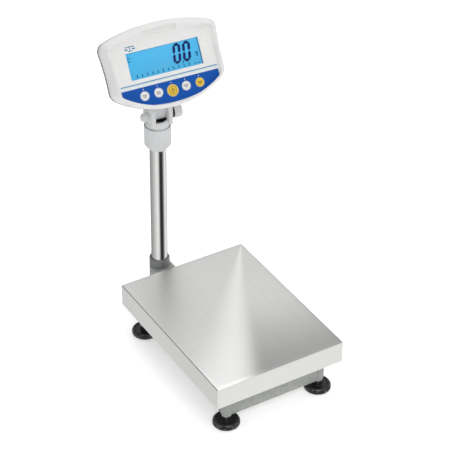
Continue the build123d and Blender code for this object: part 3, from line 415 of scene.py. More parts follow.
def brushed_metal(name, colour, lines, roughness=0.34, depth=0.000012, contrast=0.22, marks=0.25, fan=None):
    """Brushed or turned metal. lines is the reciprocal spacing of the lines on each axis."""
    material, tree, shader = blank_material(name)
    place = object_place(tree)
    brush = effect(tree, "brush", {"Vector": place, "Lines": lines})
    marked = effect(tree, "handling", {"Vector": place, "Spread": 7.0, "Amount": marks})
    tone = mix_colour(tree, brush.outputs["Shade"], rgba(colour, 1 - contrast), rgba(colour, 1 + contrast))
    tone = mix_colour(tree, marked.outputs["Mask"], tone, rgba(colour, 0.9))
    gloss = maths(tree, "MULTIPLY_ADD", brush.outputs["Shade"], 0.16, roughness - 0.08)
    gloss = maths(tree, "MULTIPLY_ADD", marked.outputs["Mask"], 0.10, gloss)
    if fan:
        tone, gloss = fan(tree, place, tone, gloss)
    tree.links.new(tone, shader.inputs["Base Color"])
    tree.links.new(gloss, shader.inputs["Roughness"])
    shader.inputs["Metallic"].default_value = 1.0
    height = maths(tree, "SUBTRACT", brush.outputs["Height"], marked.outputs["Scratches"])
    tree.links.new(bump(tree, height, depth, 0.7), shader.inputs["Normal"])
    return material


def pan_fan(colour):
    """Paints a light and a dark wedge into the colour of the pan's top.

    They stand in for a reflection and are no part of the steel, so they don't move with the light or
    the view. Without this the top is plain brushed steel.
    """
    corner = (PAN_HIGH.x, PAN_HIGH.y, PAN_HIGH.z)

    def add(tree, place, tone, gloss):
        bright = effect(tree, "fan", {"Vector": place, "Corner": corner, "Middle": 0.60,
                                      "Sharp side": 0.14, "Soft side": 0.22})
        dark = effect(tree, "fan", {"Vector": place, "Corner": corner, "Middle": 0.42,
                                    "Sharp side": 6.0, "Soft side": 0.15})
        far = maths(tree, "MULTIPLY", dark.outputs["Mask"], ramp(tree, dark.outputs["Away"], 0.16, 0.46))
        tone = mix_colour(tree, far, tone, rgba(colour, 0.48))
        tone = mix_colour(tree, bright.outputs["Mask"], tone, rgba(colour, 1.24))
        gloss = maths(tree, "MULTIPLY_ADD", bright.outputs["Mask"], -0.04, gloss)
        return tone, gloss

    return add


def polished_metal(name, colour, roughness=0.13):
    """Polished tube: faint turning lines, smears and dust."""
    material, tree, shader = blank_material(name)
    place = object_place(tree)
    turned = effect(tree, "brush", {"Vector": place, "Lines": (25.0, 25.0, 5200.0)})
    marked = effect(tree, "handling", {"Vector": place, "Spread": 15.0, "Amount": 0.5})
    tone = mix_colour(tree, marked.outputs["Mask"], rgba(colour), rgba(colour, 0.86))
    tree.links.new(mix_colour(tree, turned.outputs["Shade"], tone, rgba(colour, 0.93)), shader.inputs["Base Color"])
    gloss = maths(tree, "MULTIPLY_ADD", marked.outputs["Mask"], 0.12, roughness)
    tree.links.new(gloss, shader.inputs["Roughness"])
    shader.inputs["Metallic"].default_value = 1.0
    tree.links.new(bump(tree, turned.outputs["Height"], 0.000003, 0.4), shader.inputs["Normal"])
    return material


def printed_film(name, colour, roughness=0.38, shine=0.45):
    """Screen-printed polyester film with a very fine velvet texture."""
    material = moulded_plastic(name, colour, roughness, pitch=0.00025, depth=0.000006, marks=0.2, edge=0.0, dim=0.9)
    material.node_tree.nodes["Principled BSDF"].inputs["Specular IOR Level"].default_value = shine
    return material


def backlit_display(name, colour):
    """A backlit liquid crystal: lit evenly, a little deeper towards its lower edge, with faint dot structure."""
    material, tree, shader = blank_material(name, Roughness=0.35, Specular_IOR_Level=0.3)
    place = object_place(tree)
    offset = put(tree, "ShaderNodeVectorMath", {0: place, 1: tuple(FACE_ORIGIN)}, operation="SUBTRACT")
    height = put(tree, "ShaderNodeVectorMath", {0: offset.outputs[0], 1: tuple(FACE_U)}, operation="DOT_PRODUCT")
    across = put(tree, "ShaderNodeVectorMath", {0: offset.outputs[0], 1: tuple(FACE_X)}, operation="DOT_PRODUCT")
    cloud = noise(tree, {"Vector": place, "Scale": 14.0, "Detail": 1.0})
    low = ramp(tree, height.outputs["Value"], 0.03, -0.035)
    tone = mix_colour(tree, low, rgba(colour), rgba(colour, 0.86))
    tone = mix_colour(tree, maths(tree, "MULTIPLY", cloud.outputs[0], 0.12), tone, rgba(colour, 1.25))
    side = ramp(tree, maths(tree, "ABSOLUTE", across.outputs["Value"]), 0.070, 0.086, 0.0, 0.18)
    tone = mix_colour(tree, side, tone, rgba(colour, 0.6))
    tree.links.new(mix_colour(tree, 0.75, tone, (0.0, 0.0, 0.0, 1.0)), shader.inputs["Base Color"])
    tree.links.new(tone, shader.inputs["Emission Color"])
    shader.inputs["Emission Strength"].default_value = 0.82
    dots = noise(tree, {"Vector": place, "Scale": 2600.0})
    tree.links.new(bump(tree, dots.outputs[0], 0.000004, 0.3), shader.inputs["Normal"])
    return material


def clear_window(name):
    """A thin clear window: almost nothing of its own, with smears that catch the light."""
    material, tree, shader = blank_material(name, Specular_IOR_Level=0.5)
    place = object_place(tree)
    marked = effect(tree, "handling", {"Vector": place, "Spread": 18.0, "Amount": 0.6})
    tone = mix_colour(tree, marked.outputs["Mask"], (0.05, 0.18, 0.32, 1.0), (0.5, 0.6, 0.7, 1.0))
    tree.links.new(tone, shader.inputs["Base Color"])
    tree.links.new(maths(tree, "MULTIPLY_ADD", marked.outputs["Mask"], 0.2, 0.06), shader.inputs["Roughness"])
    tree.links.new(maths(tree, "MULTIPLY_ADD", marked.outputs["Mask"], 0.03, 0.05), shader.inputs["Alpha"])
    return material


def level_liquid(name):
    """Yellow-green spirit of the bubble level."""
    material, tree, shader = blank_material(name, Transmission_Weight=0.85, IOR=1.36)
    place = object_place(tree)
    cloud = noise(tree, {"Vector": place, "Scale": 90.0})
    tree.links.new(mix_colour(tree, cloud.outputs[0], (0.62, 0.85, 0.10, 1.0), (0.50, 0.78, 0.08, 1.0)),
                   shader.inputs["Base Color"])
    tree.links.new(maths(tree, "MULTIPLY_ADD", cloud.outputs[0], 0.04, 0.03), shader.inputs["Roughness"])
    return material


def solder_mask(name):
    """Green circuit board with faint tracks."""
    material, tree, shader = blank_material(name, Specular_IOR_Level=0.5)
    place = object_place(tree)
    tracks = put(tree, "ShaderNodeTexVoronoi", {"Vector": place, "Scale": 180.0}, distance="CHEBYCHEV")
    line = ramp(tree, tracks.outputs["Distance"], 0.40, 0.46)
    tree.links.new(mix_colour(tree, line, (0.010, 0.13, 0.045, 1.0), (0.02, 0.22, 0.08, 1.0)),
                   shader.inputs["Base Color"])
    tree.links.new(maths(tree, "MULTIPLY_ADD", line, 0.1, 0.3), shader.inputs["Roughness"])
    tree.links.new(bump(tree, line, 0.00003, 0.5), shader.inputs["Normal"])
    return material


def finish(name):
    """One of the scale's finishes, made the first time it is asked for."""
    if name in MATERIALS:
        return MATERIALS[name]
    tint = bpy.context.scene.scale_colours
    lengthwise = (4200.0, 14.0, 4200.0)
    crosswise = (14.0, 4200.0, 4200.0)
    makers = {
        "pan_top_steel": lambda n: brushed_metal(n, tint.steel, lengthwise, fan=pan_fan(tint.steel)),
        # The ends are the pan's steel lightened, as painted light.
        "pan_end_steel": lambda n: brushed_metal(n, tuple(END_PAINTED_LIGHT_GAIN * c for c in tint.steel), crosswise, contrast=0.05),
        "pan_side_steel": lambda n: brushed_metal(n, tint.steel, lengthwise, contrast=0.10),
        # The side folds are the pan's steel darkened, as a painted dark reflection.
        "pan_fold_steel": lambda n: brushed_metal(n, tuple(FOLD_PAINTED_REFLECTION_GAIN * c for c in tint.steel), lengthwise),
        "column_steel": lambda n: polished_metal(n, tint.tube),
        "turned_alloy": lambda n: brushed_metal(n, (0.72, 0.72, 0.73), (700.0, 700.0, 2600.0), 0.3),
        "zinc_plate": lambda n: brushed_metal(n, (0.60, 0.61, 0.63), (1200.0, 1200.0, 1200.0), 0.32, contrast=0.3,
                                              marks=0.6),
        "weld_paint": lambda n: powder_coat(n, tint.paint),
        "frame_paint": lambda n: powder_coat(n, tint.paint),
        # The collar is the frame's powder coat in a darker colour, as painted shade.
        "collar_paint": lambda n: powder_coat(n, tint.collar),
        "housing_plastic": lambda n: moulded_plastic(n, tint.housing, 0.42, depth=0.000012),
        "clamp_plastic": lambda n: moulded_plastic(n, tint.clamp, 0.48, pitch=0.0008, depth=0.00003),
        # The feet's edges are lightened ninefold: partly rubbed wear, partly a painted highlight along the flute edges.
        "foot_plastic": lambda n: moulded_plastic(n, tint.foot, 0.30, pitch=0.0007, depth=0.00003, marks=0.3,
                                                  edge=1.0, dim=0.7, rub=9.0),
        "socket_plastic": lambda n: moulded_plastic(n, (0.022, 0.022, 0.024), 0.4, dim=0.7),
        "soft_rubber": lambda n: moulded_plastic(n, (0.014, 0.014, 0.014), 0.62, pitch=0.0004, marks=0.5,
                                                 edge=0.0, dim=0.7),
        "display_blue": lambda n: backlit_display(n, tint.display),
        "digit_ink": lambda n: printed_film(n, tint.digit, 0.6, 0.08),
        "faint_ink": lambda n: printed_film(n, tuple(0.45 * c + 0.55 * d for c, d in zip(tint.digit, tint.display)),
                                            0.6, 0.08),
        "keypad_film": lambda n: printed_film(n, tint.keypad, 0.42, 0.2),
        "stripe_ink": lambda n: printed_film(n, tint.stripe),
        "pale_stripe_ink": lambda n: printed_film(n, (0.42, 0.74, 0.84)),
        "white_ink": lambda n: printed_film(n, (0.86, 0.88, 0.90)),
        "cream_ink": lambda n: printed_film(n, (0.88, 0.74, 0.32)),
        "legend_ink": lambda n: printed_film(n, (0.05, 0.04, 0.05), 0.5, 0.15),
        "legend_brown": lambda n: printed_film(n, (0.09, 0.045, 0.015), 0.5, 0.15),
        "key_white": lambda n: moulded_plastic(n, tint.key_plain, 0.36, pitch=0.0003, depth=0.000006),
        "key_yellow": lambda n: moulded_plastic(n, tint.key_bright, 0.36, pitch=0.0003, depth=0.000006),
        "window_clear": clear_window,
        "level_spirit": level_liquid,
        "board_green": solder_mask,
        "battery_case": lambda n: moulded_plastic(n, (0.035, 0.037, 0.042), 0.5, dim=0.75),
        "pin_gold": lambda n: brushed_metal(n, (0.80, 0.62, 0.28), (900.0, 900.0, 900.0), 0.28),
    }
    return makers[name](name)


# ---- mesh making ------------------------------------------------------------------------------
def show(obj):
    bpy.context.scene.collection.objects.link(obj)
    return obj


def shade(mesh, degrees=32):
    mesh.shade_smooth()
    mesh.set_sharp_from_angle(angle=math.radians(degrees))


def mark_edges(mesh, least=18):
    """Writes how sharply each vertex stands out, as the edge mask that the finishes read."""
    bm = bmesh.new()
    bm.from_mesh(mesh)
    level = [0.0] * len(bm.verts)
    for edge in bm.edges:
        if len(edge.link_faces) == 2 and edge.calc_face_angle_signed() > math.radians(least):
            for vertex in edge.verts:
                level[vertex.index] = 1.0
    bm.free()
    attribute = mesh.attributes.get("edge") or mesh.attributes.new("edge", "FLOAT", "POINT")
    attribute.data.foreach_set("value", level)


def mesh_object(name, verts, faces, place, materials, degrees=32, choose=None):
    """A new object from points in a local frame, with outward faces, soft shading and its finishes."""
    mesh = bpy.data.meshes.new(name)
    mesh.from_pydata([tuple(v) for v in verts], [], faces)
    bm = bmesh.new()
    bm.from_mesh(mesh)
    bmesh.ops.remove_doubles(bm, verts=bm.verts, dist=1e-4)
    bmesh.ops.dissolve_degenerate(bm, edges=bm.edges, dist=1e-4)
    bmesh.ops.recalc_face_normals(bm, faces=bm.faces)
    bm.to_mesh(mesh)
    bm.free()
    mesh.transform(place)
    for material in materials if isinstance(materials, (list, tuple)) else [materials]:
        mesh.materials.append(finish(material))
    if choose:
        for polygon in mesh.polygons:
            polygon.material_index = choose(polygon)
    shade(mesh, degrees)
    mark_edges(mesh)
    return show(bpy.data.objects.new(name, mesh))


def ring_faces(count, rings, first=0):
    """Quads between consecutive rings of count points."""
    faces = []
    for ring in range(rings - 1):
        a = first + ring * count
        b = a + count
        for i in range(count):
            j = (i + 1) % count
            faces.append((a + i, a + j, b + j, b + i))
    return faces


def stack(rings, closed=False, caps=True):
    """(verts, faces) of rings joined in order. closed joins the last ring to the first."""
    count = len(rings[0])
    verts = [tuple(p) for ring in rings for p in ring]
    faces = ring_faces(count, len(rings))
    if closed:
        last = (len(rings) - 1) * count
        faces += [(last + i, last + (i + 1) % count, (i + 1) % count, i) for i in range(count)]
        return verts, faces
    if caps:
        faces += [tuple(range(count)), tuple(range(len(verts) - count, len(verts)))]
    return verts, faces


def wall(rings):
    """Rings joined in order, open at both ends."""
    return stack(rings, caps=False)


def join_parts(parts):
    """Several (verts, faces) as one."""
    verts, faces = [], []
    for more_verts, more_faces in parts:
        start = len(verts)
        verts += list(more_verts)
        faces += [tuple(start + i for i in face) for face in more_faces]
    return verts, faces


def rounded(points, radii, steps=4, closed=False):
    """A path with its corners rounded. A point is any tuple of numbers or list of such tuples."""
    path = []
    count = len(points)
    for i, (point, radius) in enumerate(zip(points, radii)):
        if radius <= 0 or (not closed and i in (0, count - 1)):
            path.append(point)
            continue
        before, after = points[i - 1], points[(i + 1) % count]
        start = towards(point, before, radius)
        end = towards(point, after, radius)
        for k in range(steps + 1):
            u = k / steps
            path.append(blend_points(blend_points(start, point, u), blend_points(point, end, u), u))
    return path


def blend_points(a, b, u):
    if isinstance(a[0], (tuple, list)):
        return [blend_points(p, q, u) for p, q in zip(a, b)]
    return tuple(p + (q - p) * u for p, q in zip(a, b))


def towards(point, other, distance):
    """point moved towards another by a distance, at most half way, for points or lists of points."""
    if isinstance(point[0], (tuple, list)):
        return [towards(p, q, distance) for p, q in zip(point, other)]
    gap = math.dist(point, other)
    share = 0.0 if gap < 1e-9 else min(0.5, distance / gap)
    return blend_points(point, other, share)


def turned(profile, segments=96):
    """(verts, faces) of a profile of (radius, height) turned about the axis. Radius 0 makes a pole."""
    verts, faces, rings = [], [], []
    for radius, height in profile:
        if radius < 1e-6:
            rings.append([len(verts)])
            verts.append((0.0, 0.0, height))
            continue
        rings.append(list(range(len(verts), len(verts) + segments)))
        for i in range(segments):
            angle = 2 * math.pi * i / segments
            verts.append((radius * math.cos(angle), radius * math.sin(angle), height))
    for a, b in zip(rings, rings[1:]):
        for i in range(segments):
            j = (i + 1) % segments
            corners = [a[i % len(a)], a[j % len(a)], b[j % len(b)], b[i % len(b)]]
            face = list(dict.fromkeys(corners))
            if len(face) > 2:
                faces.append(tuple(face))
    return verts, faces


def turned_loop(profile, segments=96):
    """A turned ring whose profile is closed."""
    return turned(list(profile) + [profile[0]], segments)


def round_profile(profile, radius, steps=3):
    """A (radius, height) profile with every inner corner rounded alike."""
    return rounded(profile, [radius] * len(profile), steps)


def rectangle_ring(half_x, half_y, radius, z, steps=4, centre=(0.0, 0.0)):
    """A rounded rectangle as a ring of points."""
    ring = []
    radius = max(radius, 0.05)
    for sx, sy, start in ((1, 1, 0), (-1, 1, 90), (-1, -1, 180), (1, -1, 270)):
        for k in range(steps + 1):
            angle = math.radians(start + 90 * k / steps)
            x = centre[0] + sx * (half_x - radius) + radius * math.cos(angle)
            y = centre[1] + sy * (half_y - radius) + radius * math.sin(angle)
            ring.append((x, y, z))
    return ring


def circle_ring(x, y, radius, z, count=48):
    return [(x + radius * math.cos(2 * math.pi * i / count), y + radius * math.sin(2 * math.pi * i / count), z)
            for i in range(count)]


def plate(x0, x1, y0, y1, z0, z1, edge=0.3, corner=0.6):
    """(verts, faces) of a flat bar with eased edges."""
    centre = ((x0 + x1) / 2, (y0 + y1) / 2)
    half_x, half_y = (x1 - x0) / 2, (y1 - y0) / 2
    edge = min(edge, (z1 - z0) / 2.5, half_x / 2, half_y / 2)
    corner = min(corner, half_x * 0.95, half_y * 0.95)
    steps = [(edge, z0), (0, z0 + edge), (0, z1 - edge), (edge, z1)]
    rings = [rectangle_ring(half_x - i, half_y - i, corner - i * 0.6, z, centre=centre) for i, z in steps]
    return stack(rings)


def slanted_bar(points, z0, z1):
    """(verts, faces) of a flat outline between two heights."""
    return stack([[(x, y, z) for x, y in points] for z in (z0, z1)])


def filled(loops):
    """Triangles over one outer loop and its holes: (verts, faces)."""
    verts = [p for loop in loops for p in loop]
    triangles = tessellate_polygon([[Vector((p[0], p[1], 0)) for p in loop] for loop in loops])
    return verts, [tuple(t) for t in triangles]


def clean_copy(node):
    """A CAD node's mesh as a new object, its doubles merged and its flats joined."""
    bm = bmesh.new()
    bm.from_mesh(frame["nodes"][node].data)
    bmesh.ops.remove_doubles(bm, verts=bm.verts, dist=2e-6)
    bmesh.ops.dissolve_limit(bm, angle_limit=math.radians(0.6), verts=bm.verts, edges=bm.edges,
                             delimit={"NORMAL"})
    mesh = bpy.data.meshes.new(node + "_eased")
    bm.to_mesh(mesh)
    bm.free()
    return show(bpy.data.objects.new(node + "_eased", mesh))


def evaluated_mesh(obj):
    """The object's mesh with its modifiers applied, as a new mesh."""
    bpy.context.view_layer.update()
    graph = bpy.context.evaluated_depsgraph_get()
    return bpy.data.meshes.new_from_object(obj.evaluated_get(graph))


def eased(node, width, material, degrees=28, segments=2):
    """A CAD node with its sharp edges rounded, which stands for that node."""
    obj = clean_copy(node)
    bevel = obj.modifiers.new("Eased edges", "BEVEL")
    bevel.width = width
    bevel.segments = segments
    bevel.limit_method = "ANGLE"
    bevel.angle_limit = math.radians(degrees)
    bevel.use_clamp_overlap = True
    bevel.miter_outer = "MITER_ARC"
    mesh = evaluated_mesh(obj)
    obj.modifiers.clear()
    obj.data = mesh
    mesh.materials.clear()
    mesh.materials.append(finish(material))
    shade(mesh, 40)
    mark_edges(mesh)
    return settle(obj, body_of_node(node), slot_of_node(node), node)


def body_of_node(node):
    return frame["nodes"][node]["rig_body"]


def slot_of_node(node):
    rows = frame["record"]["subparts"]
    return next((row["material_slot"] for row in rows if row["node"] == node), None)


def settle(obj, body, slot=None, *stands_for):
    """Puts a finished piece on its body and hides the nodes that it stands for. The slot is not used."""
    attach(obj, body)
    if stands_for:
        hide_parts(*stands_for)
    return obj


def made(name, shape, place, materials, body, slot, *stands_for, degrees=32, choose=None):
    """Makes a piece from (verts, faces) and settles it."""
    obj = mesh_object(name, shape[0], shape[1], place, materials, degrees, choose)
    return settle(obj, body, slot, *stands_for)


def paint_node(node, material):
    """Gives a CAD node that stays its finish."""
    mesh = frame["nodes"][node].data
    mesh.materials.clear()
    mesh.materials.append(finish(material))


# ---- geometry node trees ----------------------------------------------------------------------
def geometry_tree(name, inputs):
    """A geometry tree with named inputs: (tree, what it is given, what it puts out)."""
    tree = bpy.data.node_groups.new(name, "GeometryNodeTree")
    tree.interface.new_socket("Geometry", in_out="INPUT", socket_type="NodeSocketGeometry")
    for label, kind, value in inputs:
        socket = tree.interface.new_socket(label, in_out="INPUT", socket_type="NodeSocket" + kind)
        if value is not None:
            socket.default_value = value
    tree.interface.new_socket("Geometry", in_out="OUTPUT", socket_type="NodeSocketGeometry")
    return tree, tree.nodes.new("NodeGroupInput").outputs, tree.nodes.new("NodeGroupOutput").inputs


def finish_tree(tree, given, made_node, geometry):
    """Realizes the instances, sets the finish and ends the tree."""
    real = put(tree, "GeometryNodeRealizeInstances", {"Geometry": geometry})
    coated = put(tree, "GeometryNodeSetMaterial", {"Geometry": real.outputs[0], "Material": given["Material"]})
    tree.links.new(coated.outputs[0], made_node[0])
    return tree


def spots_tree():
    """Sets a shape on every point, its Z along Aim, each turned by a seeded random angle."""
    wanted = [("Shape", "Object", None), ("Aim", "Vector", (0.0, 0.0, 1.0)), ("Turn", "Float", 0.0),
              ("Seed", "Int", 4), ("Material", "Material", None)]
    tree, given, made_node = geometry_tree("Shapes on points", wanted)
    shape = put(tree, "GeometryNodeObjectInfo", {"Object": given["Shape"]}, transform_space="ORIGINAL")
    facing = put(tree, "FunctionNodeAlignRotationToVector", {"Vector": given["Aim"]}, axis="Z")
    spin = put(tree, "FunctionNodeRandomValue", {"Max": given["Turn"], "Seed": given["Seed"]},
               data_type="FLOAT")
    own = put(tree, "FunctionNodeAxisAngleToRotation", {"Axis": (0.0, 0.0, 1.0), "Angle": spin.outputs[1]})
    both = put(tree, "FunctionNodeRotateRotation", {"Rotation": facing.outputs[0], "Rotate By": own.outputs[0]},
               rotation_space="LOCAL")
    points = put(tree, "GeometryNodeMeshToPoints", {"Mesh": given["Geometry"]})
    copies = put(tree, "GeometryNodeInstanceOnPoints", {"Points": points.outputs[0],
                                                        "Instance": shape.outputs["Geometry"],
                                                        "Rotation": both.outputs[0]})
    return finish_tree(tree, given, made_node, copies.outputs[0])


def path_tree():
    """Sets a shape at even steps along a path, its X along the path."""
    wanted = [("Shape", "Object", None), ("Step", "Float", 0.002), ("Up", "Vector", (0.0, 0.0, 1.0)),
              ("Material", "Material", None)]
    tree, given, made_node = geometry_tree("Shapes along a path", wanted)
    shape = put(tree, "GeometryNodeObjectInfo", {"Object": given["Shape"]}, transform_space="ORIGINAL")
    line = put(tree, "GeometryNodeMeshToCurve", {"Mesh": given["Geometry"]})
    even = put(tree, "GeometryNodeResampleCurve", {"Curve": line.outputs[0], "Length": given["Step"]},
               mode="LENGTH")
    along = put(tree, "FunctionNodeAlignRotationToVector", {"Vector": put(tree, "GeometryNodeInputTangent").outputs[0]},
                axis="X")
    upright = put(tree, "FunctionNodeAlignRotationToVector", {"Rotation": along.outputs[0],
                                                              "Vector": given["Up"]},
                  axis="Z", pivot_axis="X")
    copies = put(tree, "GeometryNodeInstanceOnPoints", {"Points": even.outputs[0],
                                                        "Instance": shape.outputs["Geometry"],
                                                        "Rotation": upright.outputs[0]})
    return finish_tree(tree, given, made_node, copies.outputs[0])


def flutes_tree():
    """Presses even grooves into the wall of a turned shape, between two heights."""
    wanted = [("Count", "Int", 36), ("Radius", "Float", 28.5), ("Depth", "Float", 1.0), ("Sharpness", "Float", 2.0),
              ("Low", "Float", 0.0), ("High", "Float", 10.0), ("Ease", "Float", 0.8), ("Band", "Float", 1.5),
              ("Material", "Material", None)]
    tree, given, made_node = geometry_tree("Flutes", wanted)
    place = put(tree, "GeometryNodeInputPosition").outputs[0]
    parts = put(tree, "ShaderNodeSeparateXYZ", {0: place})
    angle = maths(tree, "ARCTAN2", parts.outputs[1], parts.outputs[0])
    wave = maths(tree, "COSINE", maths(tree, "MULTIPLY", angle, given["Count"]))
    groove = maths(tree, "POWER", maths(tree, "MULTIPLY_ADD", wave, 0.5, 0.5), given["Sharpness"])
    above = ramp(tree, maths(tree, "SUBTRACT", parts.outputs[2], given["Low"]), 0.0, given["Ease"])
    below = ramp(tree, maths(tree, "SUBTRACT", given["High"], parts.outputs[2]), 0.0, given["Ease"])
    flat = put(tree, "ShaderNodeCombineXYZ", {0: parts.outputs[0], 1: parts.outputs[1]})
    radius = put(tree, "ShaderNodeVectorMath", {0: flat.outputs[0]}, operation="LENGTH").outputs["Value"]
    wall = maths(tree, "GREATER_THAN", radius, maths(tree, "SUBTRACT", given["Radius"], given["Band"]))
    press = maths(tree, "MULTIPLY", maths(tree, "MULTIPLY", groove, given["Depth"]),
                  maths(tree, "MULTIPLY", wall, maths(tree, "MULTIPLY", above, below)))
    outward = put(tree, "ShaderNodeVectorMath", {0: flat.outputs[0]}, operation="NORMALIZE")
    shift = put(tree, "ShaderNodeVectorMath", {0: outward.outputs[0], "Scale": maths(tree, "MULTIPLY", press, -1.0)},
                operation="SCALE")
    moved = put(tree, "GeometryNodeSetPosition", {"Geometry": given["Geometry"], "Offset": shift.outputs[0]})
    return finish_tree(tree, given, made_node, moved.outputs[0])


def thread_tree():
    """A screw thread: a triangular ridge wound round a core."""
    wanted = [("Radius", "Float", 6.0), ("Depth", "Float", 0.55), ("Pitch", "Float", 1.75),
              ("Length", "Float", 50.0), ("Material", "Material", None)]
    tree, given, made_node = geometry_tree("Screw thread", wanted)
    core_r = maths(tree, "SUBTRACT", given["Radius"], given["Depth"])
    core = put(tree, "GeometryNodeMeshCylinder", {"Vertices": 48, "Radius": core_r, "Depth": given["Length"]})
    lift = put(tree, "ShaderNodeCombineXYZ", {2: maths(tree, "MULTIPLY", given["Length"], 0.5)})
    stood = put(tree, "GeometryNodeTransform", {"Geometry": core.outputs[0], "Translation": lift.outputs[0]})
    run = maths(tree, "MULTIPLY_ADD", given["Pitch"], -2.0, given["Length"])
    wound = put(tree, "GeometryNodeCurveSpiral", {"Resolution": 32, "Rotations": maths(tree, "DIVIDE", run,
                                                                                       given["Pitch"]),
                                                  "Start Radius": core_r, "End Radius": core_r, "Height": run})
    raised = put(tree, "ShaderNodeCombineXYZ", {2: given["Pitch"]})
    helix = put(tree, "GeometryNodeTransform", {"Geometry": wound.outputs[0], "Translation": raised.outputs[0]})
    ridge = put(tree, "GeometryNodeCurvePrimitiveCircle", {"Resolution": 4, "Radius": given["Depth"]})
    swept = put(tree, "GeometryNodeCurveToMesh", {"Curve": helix.outputs[0], "Profile Curve": ridge.outputs[0],
                                                  "Fill Caps": True})
    whole = put(tree, "GeometryNodeJoinGeometry")
    tree.links.new(stood.outputs[0], whole.inputs[0])
    tree.links.new(swept.outputs[0], whole.inputs[0])
    return finish_tree(tree, given, made_node, whole.outputs[0])


def ticks_tree():
    """A row of upright ticks, every fifth one taller."""
    wanted = [("Count", "Int", 11), ("Pitch", "Float", 11.74), ("Wide", "Float", 0.9), ("High", "Float", 4.0),
              ("Thick", "Float", 0.12), ("Material", "Material", None)]
    tree, given, made_node = geometry_tree("Row of ticks", wanted)
    step = put(tree, "ShaderNodeCombineXYZ", {0: given["Pitch"]})
    row = put(tree, "GeometryNodeMeshLine", {"Count": given["Count"], "Offset": step.outputs[0]})
    size = put(tree, "ShaderNodeCombineXYZ", {0: given["Wide"], 1: given["High"],
                                              2: given["Thick"]})
    bar = put(tree, "GeometryNodeMeshCube", {"Size": size.outputs[0]})
    index = put(tree, "GeometryNodeInputIndex").outputs[0]
    fifth = maths(tree, "LESS_THAN", maths(tree, "MODULO", index, 5.0), 0.5)
    taller = put(tree, "ShaderNodeCombineXYZ", {0: 1.0, 1: maths(tree, "MULTIPLY_ADD", fifth, 0.35, 1.0), 2: 1.0})
    copies = put(tree, "GeometryNodeInstanceOnPoints", {"Points": row.outputs[0], "Instance": bar.outputs[0],
                                                        "Scale": taller.outputs[0]})
    return finish_tree(tree, given, made_node, copies.outputs[0])


TREES = {}


def shared_tree(maker):
    if maker not in TREES:
        TREES[maker] = maker()
    return TREES[maker]


def grown(name, source, maker, values, place=None, degrees=32):
    """Runs a tree on a (verts, edges, faces) source and returns a plain object in place."""
    seed_mesh = bpy.data.meshes.new(name)
    seed_mesh.from_pydata([tuple(v) for v in source[0]], source[1], source[2])
    obj = show(bpy.data.objects.new(name, seed_mesh))
    modifier = obj.modifiers.new("Build", "NODES")
    modifier.node_group = shared_tree(maker)
    for item in modifier.node_group.interface.items_tree:
        if item.item_type == "SOCKET" and item.in_out == "INPUT" and item.name in values:
            modifier[item.identifier] = values[item.name]
    mesh = evaluated_mesh(obj)
    obj.modifiers.remove(modifier)
    obj.data = mesh
    if place is not None:
        mesh.transform(place)
    if not mesh.polygons:
        raise RuntimeError("the tree for %s made nothing" % name)
    shade(mesh, degrees)
    mark_edges(mesh)
    return obj


def fluted(name, shape, place, material, body, slot, stands_for, values, degrees=32):
    """A turned shape with grooves pressed in by the flutes tree."""
    values = dict(values, Material=finish(material))
    mesh = mesh_object(name + "_blank", shape[0], shape[1], Matrix.Identity(4), material)
    source = ([v.co[:] for v in mesh.data.vertices], [], [tuple(p.vertices) for p in mesh.data.polygons])
    bpy.data.objects.remove(mesh)
    obj = grown(name, source, flutes_tree, values, place, degrees)
    return settle(obj, body, slot, *stands_for)


def shape_object(name, shape, degrees=32):
    """A prototype in metres for the trees that copy a shape."""
    return mesh_object(name, shape[0], shape[1], Matrix.Scale(MM, 4), "zinc_plate", degrees)


def copies_at(name, shape, points, aim, material, body, slot, *stands_for, turn=0.0, seed=4, degrees=32):
    """Copies of a (verts, faces) shape in millimetres at points in metres, their Z along aim."""
    prototype = shape_object(name + "_shape", shape, degrees)
    values = {"Shape": prototype, "Aim": tuple(aim), "Turn": turn, "Seed": seed, "Material": finish(material)}
    obj = grown(name, (points, [], []), spots_tree, values, degrees=degrees)
    bpy.data.objects.remove(prototype)
    return settle(obj, body, slot, *stands_for)


def copies_along(name, shape, paths, step, up, material, body, slot, closed=False):
    """Copies of a shape at even steps along paths of points in metres."""
    prototype = shape_object(name + "_shape", shape)
    verts, edges = [], []
    for path in paths:
        start = len(verts)
        verts += path
        edges += [(start + i, start + i + 1) for i in range(len(path) - 1)]
        if closed:
            edges.append((len(verts) - 1, start))
    values = {"Shape": prototype, "Step": step, "Up": tuple(up), "Material": finish(material)}
    obj = grown(name, (verts, edges, []), path_tree, values)
    bpy.data.objects.remove(prototype)
    return settle(obj, body, slot)


def moved_points(place, points):
    return [tuple(place @ Vector(p)) for p in points]


# ---- fasteners --------------------------------------------------------------------------------
def recessed_head(profile, mouth, floor_z, outline_radius, count=48):
    """A turned head whose top closes on a recess. outline_radius(angle) shapes the recess."""
    verts, faces = turned(profile, count)
    ring_top = []
    ring_floor = []
    top_z = profile[-1][1]
    for i in range(count):
        angle = 2 * math.pi * i / count
        r = outline_radius(angle)
        ring_top.append((r * math.cos(angle), r * math.sin(angle), top_z))
        ring_floor.append((r * mouth * math.cos(angle), r * mouth * math.sin(angle), floor_z))
    last = len(verts) - count
    start = len(verts)
    verts = verts + ring_top + ring_floor
    for i in range(count):
        j = (i + 1) % count
        faces.append((last + i, last + j, start + j, start + i))
    faces += ring_faces(count, 2, start)
    faces.append(tuple(range(start + count, start + 2 * count)))
    return verts, faces


def hex_radius(across):
    """The radius of a hexagon's outline at each angle."""
    def radius(angle):
        turn = (angle + math.pi / 6) % (math.pi / 3) - math.pi / 6
        return across / 2 / math.cos(turn)

    return radius


def cross_radius(reach, waist):
    """The radius of a rounded cross recess at each angle."""
    def radius(angle):
        return waist + (reach - waist) * abs(math.cos(2 * angle)) ** 6

    return radius


